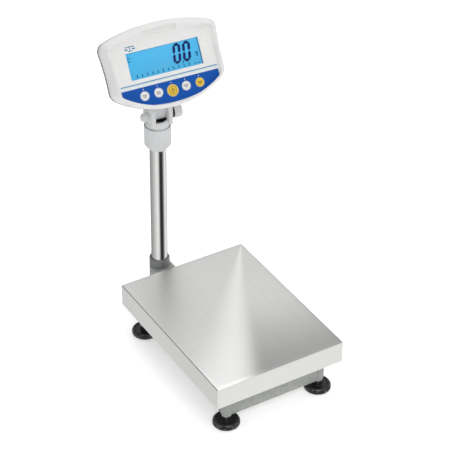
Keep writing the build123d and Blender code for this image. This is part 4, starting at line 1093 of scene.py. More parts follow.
def socket_screw(head_r, head, shank_r, shank):
    """A socket-head screw: seat at 0, head up, shank down."""
    top = [(head_r - 0.5, head), (head_r * 0.62, head)]
    profile = [(0, -shank), (shank_r - 0.4, -shank), (shank_r, -shank + 0.4), (shank_r, 0), (head_r, 0),
               (head_r, head - 0.5)] + top
    return recessed_head(profile, 1.0, head * 0.35, hex_radius(head_r))


def pan_screw(head_r, head, shank_r, shank):
    """A domed cross-recess screw: seat at 0, head up, shank down."""
    dome = [(head_r * math.cos(a), head * (0.3 + 0.7 * math.sin(a))) for a in (0.0, 0.35, 0.7, 1.0, 1.15)]
    profile = [(0, -shank), (shank_r, -shank), (shank_r, 0), (head_r, 0)] + dome
    return recessed_head(profile, 0.55, head * 0.2, cross_radius(head_r * 0.40, head_r * 0.12))


# ---- head outlines, in the face frame ---------------------------------------------------------
def circle_through(p, q, r):
    """(centre, radius) of the circle through three points."""
    ax, ay = p
    bx, by = q
    cx, cy = r
    d = 2 * (ax * (by - cy) + bx * (cy - ay) + cx * (ay - by))
    ux = ((ax * ax + ay * ay) * (by - cy) + (bx * bx + by * by) * (cy - ay) + (cx * cx + cy * cy) * (ay - by)) / d
    uy = ((ax * ax + ay * ay) * (cx - bx) + (bx * bx + by * by) * (ax - cx) + (cx * cx + cy * cy) * (bx - ax)) / d
    return (ux, uy), math.dist((ux, uy), p)


def corner_arc(flat, side, radius, corner):
    """Points of the fillet between a bowed end, which holds the face, and a waisted side, which doesn't."""
    (c1, r1), (c2, r2) = flat, side
    a, b = r1 - radius, r2 + radius
    gap = math.dist(c1, c2)
    along = (a * a - b * b + gap * gap) / (2 * gap)
    off = math.sqrt(max(a * a - along * along, 0.0))
    ux, uy = (c2[0] - c1[0]) / gap, (c2[1] - c1[1]) / gap
    options = [(c1[0] + along * ux - s * off * uy, c1[1] + along * uy + s * off * ux) for s in (1, -1)]
    centre = min(options, key=lambda p: math.dist(p, corner))
    start = (c1[0] + (centre[0] - c1[0]) * r1 / a, c1[1] + (centre[1] - c1[1]) * r1 / a)
    end = (c2[0] + (centre[0] - c2[0]) * r2 / b, c2[1] + (centre[1] - c2[1]) * r2 / b)
    first = math.atan2(start[1] - centre[1], start[0] - centre[0])
    last = math.atan2(end[1] - centre[1], end[0] - centre[0])
    while last - first > math.pi:
        last -= 2 * math.pi
    while first - last > math.pi:
        last += 2 * math.pi
    steps = 8
    return [(centre[0] + radius * math.cos(first + (last - first) * k / steps),
             centre[1] + radius * math.sin(first + (last - first) * k / steps)) for k in range(steps + 1)]


NOTCH_HALF = 38.0
NOTCH_EASE = 0.7
STEADY_X = (0.0, 6.5, 13.0, 19.5, 26.0, 32.0, NOTCH_HALF, NOTCH_HALF + NOTCH_EASE)


def half_outline(corner, crown, waist, heel, foot, top_r, heel_r):
    """The right half of a shell's outline, from the crown to the foot."""
    top = circle_through((-corner[0], corner[1]), (0.0, crown), corner)
    side = circle_through(corner, (waist, 0.0), heel)
    bottom = circle_through((-heel[0], heel[1]), (0.0, foot), heel)
    upper = corner_arc(top, side, top_r, corner)
    lower = corner_arc(bottom, side, heel_r, heel)
    end = upper[0][0]
    reach = STEADY_X[-1]
    xs = list(STEADY_X) + [reach + (end - reach) * k / 9 for k in range(1, 9)]
    points = [(x, top[0][1] + math.sqrt(top[1] ** 2 - x * x)) for x in xs]
    points += upper
    y0, y1 = upper[-1][1], lower[-1][1]
    for k in range(1, 14):
        y = y0 + (y1 - y0) * k / 14
        points.append((side[0][0] - math.sqrt(side[1] ** 2 - (y - side[0][1]) ** 2), y))
    points += lower[::-1]
    end = lower[0][0]
    for k in range(1, 21):
        x = end * (1 - k / 20)
        points.append((x, bottom[0][1] - math.sqrt(bottom[1] ** 2 - x * x)))
    return points


def full_outline(*shape):
    half = half_outline(*shape)
    return half + [(-x, y) for x, y in half[-2:0:-1]]


def shell_outline(side, bottom):
    """The head's outline, drawn in at the sides and top, and by another amount at the bottom."""
    corner = (132.5 - side, 55.0 - side)
    heel = (128.5 - side, -54.6 + bottom * 0.35)
    top_r = max(20.0 - side / 2, 6.0)
    heel_r = max(24.0 - bottom / 2, 6.0)
    return full_outline(corner, 79.0 - side, 127.5 - side, heel, -99.5 + bottom, top_r, heel_r)


def panel_outline(inset):
    """The flat panel's outline."""
    corner = (110.5 - inset, 48.0 - inset)
    heel = (110.5 - inset, -68.5 + inset)
    return full_outline(corner, 48.6 - inset, 109.9 - inset, heel, -90.5 + inset, 6.0, 6.0)


def at_depth(outline, depth):
    return [(x, y, depth) for x, y in outline]


PARTING = -22.0
SEAM_FRONT = PARTING + 1.6
SEAM_BACK = PARTING - 4.4
BACK = -70.0
WALL = 2.8
PANEL_THICK = 3.0
KEYPAD_TOP = -44.5
FILM = 0.8
KEY_PITCH = 31.3
KEY_RADII = (8.6, 8.6, 11.4, 8.6, 8.6)
KEY_SPOTS = [(KEY_PITCH * (i - 2) + 0.5, -66.5 if radius > 9 else -64.0) for i, radius in enumerate(KEY_RADII)]
WINDOW_X = 81.5
WINDOW_Y = 28.0
HOLE_GAP = 0.3


def keypad_outline(gap):
    """The lower part of the panel, which the keypad's film covers."""
    ring = panel_outline(0.3 + gap)
    top = KEYPAD_TOP - gap
    low = [p for p in ring if p[1] < top]
    right_end = max(low, key=lambda p: (p[0] > 0, p[1]))
    start = low.index(right_end)
    low = low[start:] + low[:start]
    return [(right_end[0], top)] + low + [(-right_end[0], top)]


def notch_depths(rim, floor, ring_count):
    """Stations of the slope above the panel, with the shallow flat sunk into its middle."""
    stations = [[], [], [], [], [], []]
    shelf = 0.8
    for k in range(ring_count):
        a, b = rim[k], floor[k]
        middle = abs(a[0]) <= NOTCH_HALF + NOTCH_EASE / 2 and a[1] > 0
        if a[1] > 40 and abs(a[0]) < 100:
            high = (a[1] - 65.0) / max(a[1] - b[1], 1e-6)
            low = (a[1] - 54.0) / max(a[1] - b[1], 1e-6)
        else:
            high, low = 0.12, 0.66
        high = min(max(high, 0.04), 0.5)
        low = min(max(low, high + 0.1), 0.92)
        edge = 0.03
        for slot, (u, sunk) in enumerate(((high, False), (high + edge * 0.4, True), (high + 2 * edge, True),
                                          (low - 2 * edge, True), (low - edge * 0.4, True), (low, False))):
            p = blend_points(a, b, u)
            stations[slot].append((p[0], p[1], min(p[2], shelf) if middle and sunk else p[2]))
    return stations


def front_shell_shape():
    """(verts, faces) of the front shell with its sunk panel, window and key holes."""
    rim = at_depth(shell_outline(11.5, 7.0), 6.0)
    floor = at_depth(panel_outline(0), 0.0)
    count = len(rim)
    outside = [at_depth(shell_outline(WALL, WALL), SEAM_FRONT), at_depth(shell_outline(0, 0), SEAM_FRONT),
               at_depth(shell_outline(0, 0), -6.0), at_depth(shell_outline(10.0, 5.5), 6.0), rim]
    slope = notch_depths(rim, floor, count)
    radii = [0, 0.5, 2.4, 1.2, 0.8, 0, 0, 0, 0, 0, 0, 0]
    stations = rounded(outside + slope + [floor], radii, steps=5)
    inner = [at_depth(shell_outline(14, 14), -PANEL_THICK), at_depth(shell_outline(14, 14), -8.0),
             at_depth(shell_outline(WALL, WALL), -8.0), at_depth(shell_outline(WALL, WALL), SEAM_FRONT)]
    skin = wall(stations)
    lining = wall(inner)
    window_out = rectangle_ring(WINDOW_X + 0.5, WINDOW_Y + 0.5, 1.2, 0.0)
    window_in = rectangle_ring(WINDOW_X, WINDOW_Y, 0.8, -0.5)
    window_back = rectangle_ring(WINDOW_X, WINDOW_Y, 0.8, -PANEL_THICK)
    recess_top = at_depth(keypad_outline(0), 0.0)
    recess_low = at_depth(keypad_outline(0), -FILM)
    holes_top = key_rings(HOLE_GAP, -FILM)
    holes_low = key_rings(HOLE_GAP, -PANEL_THICK)
    parts = [skin, lining, filled([floor, window_out, recess_top]),
             wall([window_out, window_in, window_back]),
             wall([recess_top, recess_low]),
             filled([recess_low] + holes_top), filled([inner[0], window_back] + holes_low)]
    for top, low in zip(holes_top, holes_low):
        parts.append(wall([top, low]))
    return join_parts(parts)


def key_rings(gap, depth):
    return [circle_ring(x, y, radius + gap, depth) for (x, y), radius in zip(KEY_SPOTS, KEY_RADII)]


def rear_shell_shape():
    """(verts, faces) of the rear shell: outer wall, flat back, inner wall, rim."""
    front = SEAM_BACK
    stations = [at_depth(shell_outline(0, 0), front), at_depth(shell_outline(0, 0), front - 0.8),
                at_depth(shell_outline(24, 24), BACK), at_depth(shell_outline(27, 27), BACK)]
    outer = rounded(stations, [0, 2.0, 6.0, 0], steps=6)
    inner = [at_depth(shell_outline(30, 30), BACK + WALL), at_depth(shell_outline(27, 27), BACK + WALL),
             at_depth(shell_outline(WALL + 0.4, WALL + 0.4), front), at_depth(shell_outline(0.4, 0.4), front)]
    whole = outer[::-1] + inner[::-1]
    return stack(whole)


# ---- sizes in millimetres that the pieces share -------------------------------------------------
ANY_TURN = 6.28  # radians: a screw stops at any angle
GRIP_SHARP = 50  # degrees from which an edge of a fluted or domed piece is shaded sharp
SHELL_SHARP = 38
SOCKET_HEAD = (5.0, 4.0, 3.0)
CROSS_HEAD = (4.0, 2.4, 2.0)
FOOT_R = 28.5
COLUMN_R = 18.0
COLLAR_R = 22.5
SLEEVE_R = 29.0
WASHER_R = 14.5
WASHER_FLUTES = 28
KNOB_R = 16.0
KNOB_START = 34.8
KNOB_LONG = 17.7
DISPLAY_LOW, DISPLAY_HIGH = -3.34, -3.22
TICK_FIRST, TICK_PITCH = -66.5, 11.74
PRINT_LOW, PRINT_HIGH = 0.0, 0.06
SOCKET_MIDDLE = 30.0
REAR_PLATE = 5.0


def screws_at(name, shape, points, aim, body, *stands_for, **more):
    """Zinc-plated screws, each turned its own way."""
    return copies_at(name, shape, points, aim, "zinc_plate", body, "zinc_steel", *stands_for, turn=ANY_TURN, **more)


def on_head(name, shape, material, slot, *stands_for, **more):
    """Makes a piece in the face frame, on the head."""
    return made(name, shape, FACE, material, "head", slot, *stands_for, **more)


# ---- operators --------------------------------------------------------------------------------
class ScalePiece:
    """What the scale's operators share."""

    bl_options = {"REGISTER", "UNDO"}

    def execute(self, context):
        self.build(context.scene.scale_sizes)
        return {"FINISHED"}


# Name, place from the middle of the scale, width, the setting its power comes from and its share of it.
SOFTBOXES = (("Key softbox", (-0.7, -2.6, 2.6), 2.2, "key_power", 1.0),
             ("Top softbox", (0.6, 0.5, 3.0), 2.4, "key_power", 0.65),
             ("Pan softbox", (1.5, 2.55, 2.03), 2.6, "pan_power", 1.0),
             ("Side softbox", (2.8, -1.2, 1.3), 1.6, "fill_power", 1.0))


class BENCHSCALE_OT_stage(bpy.types.Operator):
    """Sets the pale floor, the soft lights and the camera"""

    bl_idname = "benchscale.stage"
    bl_label = "Stage"
    bl_options = {"REGISTER", "UNDO"}

    def execute(self, context):
        settings = context.scene.scale_stage
        pale_floor(settings.floor_size, settings.floor_glow)
        floor_card(settings.reflection)
        column_cards()
        soft_sky(context.scene, settings.sky)
        middle = Vector((0.0, 0.0, 0.3))
        for name, spot, size, power, share in SOFTBOXES:
            softbox(name, middle, spot, size, getattr(settings, power) * share)
        place_camera(context.scene, settings)
        context.scene.view_settings.view_transform = "Standard"
        return {"FINISHED"}


def pale_floor(size, glow):
    material, tree, shader = blank_material("floor_paper", Roughness=0.9)
    speckle = noise(tree, {"Vector": object_place(tree), "Scale": 3.0})
    tree.links.new(mix_colour(tree, speckle.outputs[0], (0.93, 0.93, 0.93, 1), (0.95, 0.95, 0.95, 1)),
                   shader.inputs["Base Color"])
    shader.inputs["Emission Color"].default_value = (1, 1, 1, 1)
    shader.inputs["Emission Strength"].default_value = glow
    half = size / 2
    mesh = bpy.data.meshes.new("floor")
    mesh.from_pydata([(-half, -half, 0), (half, -half, 0), (half, half, 0), (-half, half, 0)], [], [(0, 1, 2, 3)])
    mesh.materials.append(material)
    show(bpy.data.objects.new("floor", mesh))


def reflection_card(name, verts, faces, shades):
    """A studio card that only reflections see, lit by a shade at each point."""
    material, tree, shader = blank_material(name, Roughness=0.9, Base_Color=(0.0, 0.0, 0.0, 1.0),
                                            Specular_IOR_Level=0.0, Emission_Strength=1.0)
    shade_here = put(tree, "ShaderNodeAttribute", attribute_name="shade")
    tone = mix_colour(tree, shade_here.outputs["Fac"], (0.0, 0.0, 0.0, 1.0), (1.0, 0.995, 0.985, 1.0))
    tree.links.new(tone, shader.inputs["Emission Color"])
    mesh = bpy.data.meshes.new(name)
    mesh.from_pydata(verts, [], faces)
    mesh.attributes.new("shade", "FLOAT", "POINT").data.foreach_set("value", shades)
    mesh.materials.append(material)
    card = show(bpy.data.objects.new(name, mesh))
    card.visible_camera = card.visible_diffuse = card.visible_shadow = False
    card.visible_transmission = card.visible_volume_scatter = False


def floor_card(level):
    """What metal sees of the floor, so that skirts stand out from it."""
    half, height = 1.6, 0.0004
    verts = [(-half, -half, height), (half, -half, height), (half, half, height), (-half, half, height)]
    reflection_card("floor_card", verts, [(0, 1, 2, 3)], [level] * 4)


# Degrees round the column from the main view's side, and the brightness there.
BAND_STOPS = ((-143, 0.12), (-100, 0.30), (-62, 0.45), (-44, 0.60), (-11, 0.94), (3.5, 0.76), (12, 0.22), (18, 0.03),
              (38, 0.03), (47, 0.15), (57, 0.50), (74, 1.0), (95, 0.80), (143, 0.20), (158, 0.40),
              (170, 0.95), (186, 0.85), (200, 0.40), (217, 0.12))


def column_cards():
    """Strips close round the column that only reflections see, set for the main view.

    They give its polish upright bands, which plain studio light doesn't.
    """
    facing = math.atan2(-0.8621, -0.5066)
    low, high, radius = 0.036, 0.366, 0.030
    verts, faces, shades = [], [], []
    for index, (degrees, level) in enumerate(BAND_STOPS):
        angle = facing + math.radians(degrees)
        for z in (low, high):
            verts.append((COLUMN_AXIS.x + radius * math.cos(angle), COLUMN_AXIS.y + radius * math.sin(angle), z))
            shades.append(level)
        if index:
            a = 2 * index
            faces.append((a - 2, a, a + 1, a - 1))
    reflection_card("column_cards", verts, faces, shades)


def soft_sky(scene, strength):
    """Even light, darker towards the horizon so that metal shows its shape."""
    world = bpy.data.worlds.new("studio")
    scene.world = world
    world.use_nodes = True
    tree = world.node_tree
    back = tree.nodes["Background"]
    height = put(tree, "ShaderNodeSeparateXYZ", {0: put(tree, "ShaderNodeTexCoord").outputs["Generated"]})
    near = ramp(tree, height.outputs[2], 0.02, 0.22, 0.06, 0.60)
    far = ramp(tree, height.outputs[2], 0.20, 0.60, 0.0, 0.40)
    tone = mix_colour(tree, maths(tree, "ADD", near, far), (0.0, 0.0, 0.0, 1), (1.0, 1.0, 1.0, 1))
    tree.links.new(tone, back.inputs["Color"])
    back.inputs["Strength"].default_value = strength


def softbox(name, aim, spot, size, power):
    light = bpy.data.lights.new(name, "AREA")
    light.shape = "SQUARE"
    light.size = size
    light.energy = power
    lamp = show(bpy.data.objects.new(name, light))
    lamp.visible_camera = False
    lamp.location = aim + Vector(spot)
    lamp.rotation_euler = (aim - lamp.location).to_track_quat("-Z", "Y").to_euler()


def place_camera(scene, settings):
    data = bpy.data.cameras.new("camera")
    data.lens = settings.lens
    data.sensor_width = 36.0
    data.shift_x, data.shift_y = 0.0556, -0.0667
    data.clip_start, data.clip_end = 0.1, 60.0
    camera = show(bpy.data.objects.new("camera", data))
    turn, rise = settings.camera_turn, settings.camera_rise
    back = Vector((math.sin(turn) * math.cos(rise), -math.cos(turn) * math.cos(rise), math.sin(rise)))
    aim = Vector((PAN_CENTRE.x + 0.1674, PAN_CENTRE.y + 0.4092, PAN_HIGH.z))
    camera.location = aim + back * settings.camera_away
    camera.rotation_mode = "QUATERNION"
    camera.rotation_quaternion = (-back).to_track_quat("-Z", "Y")
    scene.camera = camera


class BENCHSCALE_OT_pan(ScalePiece, bpy.types.Operator):
    """Folds the brushed stainless pan and eases its stiffeners"""

    bl_idname = "benchscale.pan"
    bl_label = "Pan"

    def build(self, sizes):
        half_x, half_y = [(high - low) / 2 / MM for low, high in zip(PAN_LOW[:2], PAN_HIGH[:2])]
        low, high = extent("pan", 2)
        sheet, fold = 1.5, 1.4
        top_face, end_face_painted_light, side_face, fold_face_painted_reflection = range(4)
        corner = sizes.pan_corner / MM
        path = [(12.0, high - sheet), (sheet, high - sheet), (sheet, low), (0.0, low), (0.0, high), (12.0, high)]
        path = rounded(path, [0, 0.6, 0.35, 0.35, fold, 0], steps=4)
        rings = [rectangle_ring(half_x - i, half_y - i, max(corner - i, 0.12), z) for i, z in path]

        def choose(polygon):
            along_side = abs(polygon.normal.y) < abs(polygon.normal.x)
            if polygon.normal.z > 0.97:
                return top_face
            if along_side:
                # Side-fold faces take the steel darkened as a painted dark reflection.
                return fold_face_painted_reflection if 0.12 < polygon.normal.z else side_face
            # End faces take the steel lightened as painted light.
            return top_face if polygon.normal.z > 0.6 else end_face_painted_light

        made("pan_sheet", stack(rings), BASE, ["pan_top_steel", "pan_end_steel", "pan_side_steel", "pan_fold_steel"],
             "platform", "stainless", "pan", choose=choose)
        eased("pan_stiffeners", sizes.metal_edge, "pan_side_steel")


class BENCHSCALE_OT_base_frame(ScalePiece, bpy.types.Operator):
    """Eases the painted base frame and welds its joints"""

    bl_idname = "benchscale.base_frame"
    bl_label = "Base frame"

    def build(self, sizes):
        for node in ("front_beam", "rear_beam", "side_beams", "cell_rail", "foot_bosses"):
            eased(node, sizes.frame_edge, "frame_paint")
        bead = turned(round_profile([(0, -0.8), (1.25, 0), (0, 0.8)], 0.9), 12)
        low, high = extent("front_beam", 2)
        spot = Vector(JOINTS["foot_turn_front_right"]["pos_m"]) - Vector((PAN_CENTRE.x, PAN_CENTRE.y, 0))
        post_x, post_y = abs(spot.x) / MM, abs(spot.y) / MM
        half, boss = 10.0, 12.25
        meet = math.sqrt(boss ** 2 - half ** 2)
        paths = []
        for sx in (-1, 1):
            for sy in (-1, 1):
                for x, y in ((post_x - meet, post_y - 0.5 + half), (post_x + half, post_y - meet),
                             (post_x - half, post_y - meet)):
                    paths.append([(sx * x, sy * y, low + 0.6), (sx * x, sy * y, high - 0.6)])
        rail_low, rail_high = extent("cell_rail", 1)
        for sx in (-1, 1):
            x = sx * (post_x - half)
            for y in (rail_low - PAN_CENTRE.y / MM, rail_high - PAN_CENTRE.y / MM):
                paths.append([(x, y, high - 19.4), (x, y, high - 0.6)])
        copies_along("frame_welds", bead, [moved_points(BASE, path) for path in paths], sizes.bead_step, RIGHT,
                     "weld_paint", "base", "frame_paint")


class BENCHSCALE_OT_load_parts(ScalePiece, bpy.types.Operator):
    """Finishes the load cell, the carrier, its buttons and stops"""

    bl_idname = "benchscale.load_parts"
    bl_label = "Load cell and carrier"

    def build(self, sizes):
        for node in ("load_cell", "cell_spacer_lower", "cell_spacer_upper"):
            eased(node, sizes.metal_edge, "turned_alloy")
        for node in ("carrier_plate", "carrier_bars", "carrier_rails"):
            eased(node, sizes.frame_edge, "frame_paint")
        eased("stop_nuts", sizes.metal_edge, "zinc_plate")
        self.buttons()
        self.cell_screws()
        self.stop_screws()

    def buttons(self):
        low, high = extent("pan_buttons", 2)
        tall = high - low
        profile = rounded([(0, 0), (9.0, 0), (9.0, 2.0), (8.0, tall), (3.2, tall), (2.6, tall - 1.4), (0, tall - 1.4)],
                          [0, 0.4, 0.4, 1.2, 0.3, 0.3, 0], 3)
        box_low, box_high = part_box("pan_buttons")
        xs = (box_low.x + 0.009, box_high.x - 0.009)
        ys = (box_low.y + 0.009, box_high.y - 0.009)
        points = [(x, y, box_low.z) for x in xs for y in ys]
        copies_at("rubber_buttons", turned(profile, 48), points, UP, "soft_rubber", "base", "black_rubber",
                  "pan_buttons")

    def cell_screws(self):
        low, high = extent("cell_bolts", 2)
        seat_low, seat_high = extent("cell_rail", 2)[0], extent("carrier_plate", 2)[1]
        long_low = extent("load_cell", 2)[0] + 12.0 - seat_low
        long_high = seat_high - (extent("load_cell", 2)[1] - 12.0)
        middle = PAN_CENTRE.y / MM
        fixed = [(0, (middle - 45 + d) * MM, seat_low * MM) for d in (-7, 7)]
        carried = [(0, (middle + 45 + d) * MM, seat_high * MM) for d in (-7, 7)]
        screws_at("cell_screws_lower", socket_screw(5.0, seat_low - low, 3.0, long_low), fixed, -UP, "base",
                  "cell_bolts")
        screws_at("cell_screws_upper", socket_screw(5.0, high - seat_high, 3.0, long_high), carried, UP, "base")

    def stop_screws(self):
        box_low, box_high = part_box("overload_stops")
        shape = threaded_rod("stop_thread", 4.0, 0.4, 1.25, (box_high.z - box_low.z) / MM)
        points = [(x, y, box_low.z) for x in (box_low.x + 0.004, box_high.x - 0.004)
                  for y in (box_low.y + 0.004, box_high.y - 0.004)]
        screws_at("stop_screws", shape, points, UP, "base", "overload_stops", seed=9)


def threaded_rod(name, radius, depth, pitch, length):
    """(verts, faces) of a threaded rod that stands on 0."""
    values = {"Radius": radius, "Depth": depth, "Pitch": pitch, "Length": length, "Material": finish("zinc_plate")}
    obj = grown(name, ([(0, 0, 0)], [], []), thread_tree, values)
    shape = ([v.co[:] for v in obj.data.vertices], [tuple(p.vertices) for p in obj.data.polygons])
    bpy.data.objects.remove(obj)
    return shape


class BENCHSCALE_OT_feet(ScalePiece, bpy.types.Operator):
    """Makes the four fluted levelling feet, their studs and lock nuts"""

    bl_idname = "benchscale.feet"
    bl_label = "Levelling feet"

    def build(self, sizes):
        eased("foot_lock_nuts", sizes.metal_edge * 1.6, "zinc_plate")
        pad = self.pad_shape(sizes.foot_flutes)
        for name in ("front_left", "front_right", "rear_left", "rear_right"):
            place = foot_frame(name)
            body = "foot_" + name
            grooves = {"Count": sizes.foot_flutes, "Radius": FOOT_R, "Depth": 2.3, "Sharpness": 1.1, "Low": -0.8,
                       "High": 10.9, "Ease": 0.7, "Band": 2.2}
            fluted("foot_disc_" + name, pad, place, "foot_plastic", body, "black_plastic", ["foot_pad_" + name],
                   grooves, degrees=GRIP_SHARP)
            low, high = extent("foot_stud_" + name, 2)
            shape = threaded_rod("thread_" + name, 6.0, 0.6, sizes.thread_pitch / MM, high - low)
            lifted = [(x, y, z + low) for x, y, z in shape[0]]
            made("foot_screw_" + name, (lifted, shape[1]), place, "zinc_plate", body, "zinc_steel",
                 "foot_stud_" + name)

    def pad_shape(self, flutes):
        """The disc's turned blank: base, fluted rim, sloped shoulder, dish and hub."""
        profile = [(0, 0), (26.6, 0), (FOOT_R, 1.2), (FOOT_R, 3.0), (FOOT_R, 5.5), (FOOT_R, 8.6), (27.3, 10.2),
                   (24.6, 13.0), (22.2, 13.0), (20.9, 11.0), (11.2, 11.0), (10.0, 12.0), (10.0, 17.2), (9.2, 18.0),
                   (6.6, 18.0), (6.05, 17.4), (6.05, 6.0), (0, 6.0)]
        radii = [0, 0.6, 0.5, 0, 0, 0.8, 0.8, 0.7, 0.6, 0.8, 0.8, 0.8, 0.5, 0.4, 0.3, 0.3, 0, 0]
        return turned(rounded(profile, radii, 3), flutes * 8)


class BENCHSCALE_OT_rear_arm(ScalePiece, bpy.types.Operator):
    """Finishes the arm, its flange and bolts, the column's socket and the level"""

    bl_idname = "benchscale.rear_arm"
    bl_label = "Rear arm and socket"

    def build(self, sizes):
        for node in ("arm_flange", "rear_arm"):
            eased(node, sizes.frame_edge, "frame_paint")
        self.collar()
        self.bolts()
        self.welds(sizes)
        self.level()

    def collar(self):
        low, high = extent("column_socket", 2)
        profile = rounded([(18.1, low + 6), (18.1, low + 0.4), (COLLAR_R, low), (COLLAR_R, high - 0.2), (21.8, high),
                           (18.7, high), (18.1, high - 0.8)], [0, 0.3, 0.6, 0.7, 0.5, 0.3, 0.3], 3)
        made("column_collar", turned_loop(profile, 96), POST, "collar_paint", "base", "frame_paint",
             "column_socket")

    def bolts(self):
        flange_back = extent("arm_flange", 1)[1]
        box_low, box_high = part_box("arm_bolts")
        xs = (box_low.x + 0.005, box_high.x - 0.005)
        zs = (box_low.z + 0.005, box_high.z - 0.005)
        points = [(x, flange_back * MM, z) for x in xs for z in zs]
        screws_at("flange_screws", socket_screw(*SOCKET_HEAD, 7.0), points, AHEAD, "base", "arm_bolts")
        low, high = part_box("socket_screws")
        seat = high.y - 0.004
        points = [(COLUMN_AXIS.x, seat, z) for z in (low.z + 0.005, high.z - 0.005)]
        screws_at("collar_screws", socket_screw(*SOCKET_HEAD, 4.3), points, AHEAD, "base", "socket_screws", seed=7)

    def welds(self, sizes):
        bead = turned(round_profile([(0, -0.8), (1.3, 0), (0, 0.8)], 0.9), 12)
        low, high = extent("rear_arm", 2)
        front = extent("rear_arm", 1)[0]
        half = (extent("rear_arm", 0)[1] - extent("rear_arm", 0)[0]) / 2
        around = [(-half, front, low), (half, front, low), (half, front, high), (-half, front, high)]
        loop = [tuple(c * MM for c in p) for p in around]
        copies_along("arm_welds", bead, [loop], sizes.bead_step, AHEAD, "weld_paint", "base", "frame_paint",
                     closed=True)
        arc = [tuple(p) for p in moved_points(POST, [(22.9 * math.cos(a), 22.9 * math.sin(a), high + 0.2)
                                                     for a in [math.radians(d) for d in range(180, 361, 6)]])]
        copies_along("collar_weld", bead, [arc], sizes.bead_step, UP, "weld_paint", "base", "frame_paint")

    def level(self):
        low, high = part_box("level_holder")
        middle = (low + high) / 2
        place = local_frame(Vector((middle.x, middle.y, low.z)), RIGHT, AHEAD, UP)
        tall = (high.z - low.z) / MM
        profile = rounded([(9.0, tall - 7), (9.0, tall), (13.0, tall), (13.0, 0), (0, 0), (0, tall - 7)],
                          [0, 0.4, 1.0, 0.3, 0, 0], 4)
        made("level_cup", turned(profile, 72), place, "socket_plastic", "base", "black_plastic", "level_holder")
        paint_node("level_vial", "level_spirit")
        ring = [(2.9, tall + 0.02), (3.3, tall + 0.02), (3.3, tall + 0.12), (2.9, tall + 0.12)]
        made("level_mark", turned_loop(ring, 48), place, "legend_ink", "base", "black_plastic")


class BENCHSCALE_OT_column(ScalePiece, bpy.types.Operator):
    """Polishes the column tube and finishes its turned spigot"""

    bl_idname = "benchscale.column"
    bl_label = "Column"

    def build(self, sizes):
        low, high = extent("column_tube", 2)
        profile = [(COLUMN_R, low), (COLUMN_R, high - 0.4), (17.6, high), (16.2, high), (16.0, high - 0.4), (16.0, low)]
        made("polished_tube", turned_loop(profile, 160), POST, "column_steel", "base", "polished_steel",
             "column_tube")
        eased("swivel_spigot", sizes.metal_edge, "turned_alloy")
        paint_node("swivel_ring", "turned_alloy")


class BENCHSCALE_OT_sleeve(ScalePiece, bpy.types.Operator):
    """Makes the ribbed clamp sleeve round the column's top"""

    bl_idname = "benchscale.sleeve"
    bl_label = "Clamp sleeve"

    def build(self, sizes):
        low, high = extent("clamp_sleeve", 2)
        cone = low + 12.0
        outside = [(SLEEVE_R, z) for z in (cone, cone + 3, cone + 6, high - 6, high - 3, high)]
        path = [(18.15, low + 0.4), (19.4, low)] + outside + [(27.75, high), (27.75, cone + 3), (18.15, cone + 3)]
        profile = rounded(path, [0, 0.8, 2.6, 0, 0, 0, 0, 0.8, 0.3, 0, 0], 4)
        values = {"Count": sizes.sleeve_ribs, "Radius": SLEEVE_R, "Depth": 0.75, "Sharpness": 2.2, "Low": cone + 2.6,
                  "High": high - 2.6, "Ease": 1.2, "Band": 0.8}
        fluted("sleeve_moulding", turned_loop(profile, sizes.sleeve_ribs * 6), POST, "clamp_plastic", "sleeve",
               "clamp_white", ["clamp_sleeve"], values, degrees=GRIP_SHARP)


class BENCHSCALE_OT_yoke(ScalePiece, bpy.types.Operator):
    """Eases the tilt yoke, and makes its washer, cap and bolt"""

    bl_idname = "benchscale.yoke"
    bl_label = "Tilt yoke"

    def build(self, sizes):
        eased("yoke", sizes.clamp_edge, "clamp_plastic", segments=3)
        eased("pivot_bolt", sizes.metal_edge, "zinc_plate")
        # A black lining round the inside of the yoke's chamber is painted shade: it darkens the hollow, and is no part
        # of the yoke.
        shade_profile = [(19.9, -41.8), (19.9, -9.6), (18.9, -9.6), (18.9, -41.0), (16.0, -41.0), (16.0, -41.8)]
        made("chamber_liner", turned_loop(shade_profile, 72), YOKE, "soft_rubber", "yoke", "black_rubber")
        washer = rounded([(4.05, 28.6), (WASHER_R, 28.6), (WASHER_R, 34.4), (4.05, 34.4)], [0, 1.0, 1.0, 0], 4)
        values = {"Count": WASHER_FLUTES, "Radius": WASHER_R, "Depth": 0.7, "Sharpness": 2.0, "Low": 28.8, "High": 34.2,
                  "Ease": 1.0, "Band": 1.3}
        fluted("grip_washer", turned_loop(washer, WASHER_FLUTES * 6), SHAFT, "soft_rubber", "yoke", "black_rubber",
               ["pivot_washer"], values, degrees=GRIP_SHARP)
        dome = [(0, -24.0), (9.2, -24.0), (9.7, -24.6), (9.7, -31.5)]
        dome += [(3.7 + 6.0 * math.cos(a), -32.0 - 6.0 * math.sin(a)) for a in
                 [math.radians(d) for d in range(0, 91, 10)]]
        dome += [(2.6, -38.0), (2.2, -37.4), (0, -37.4)]
        made("pivot_dome", turned(dome, 72), SHAFT, "clamp_plastic", "yoke", "clamp_white", "pivot_cap")


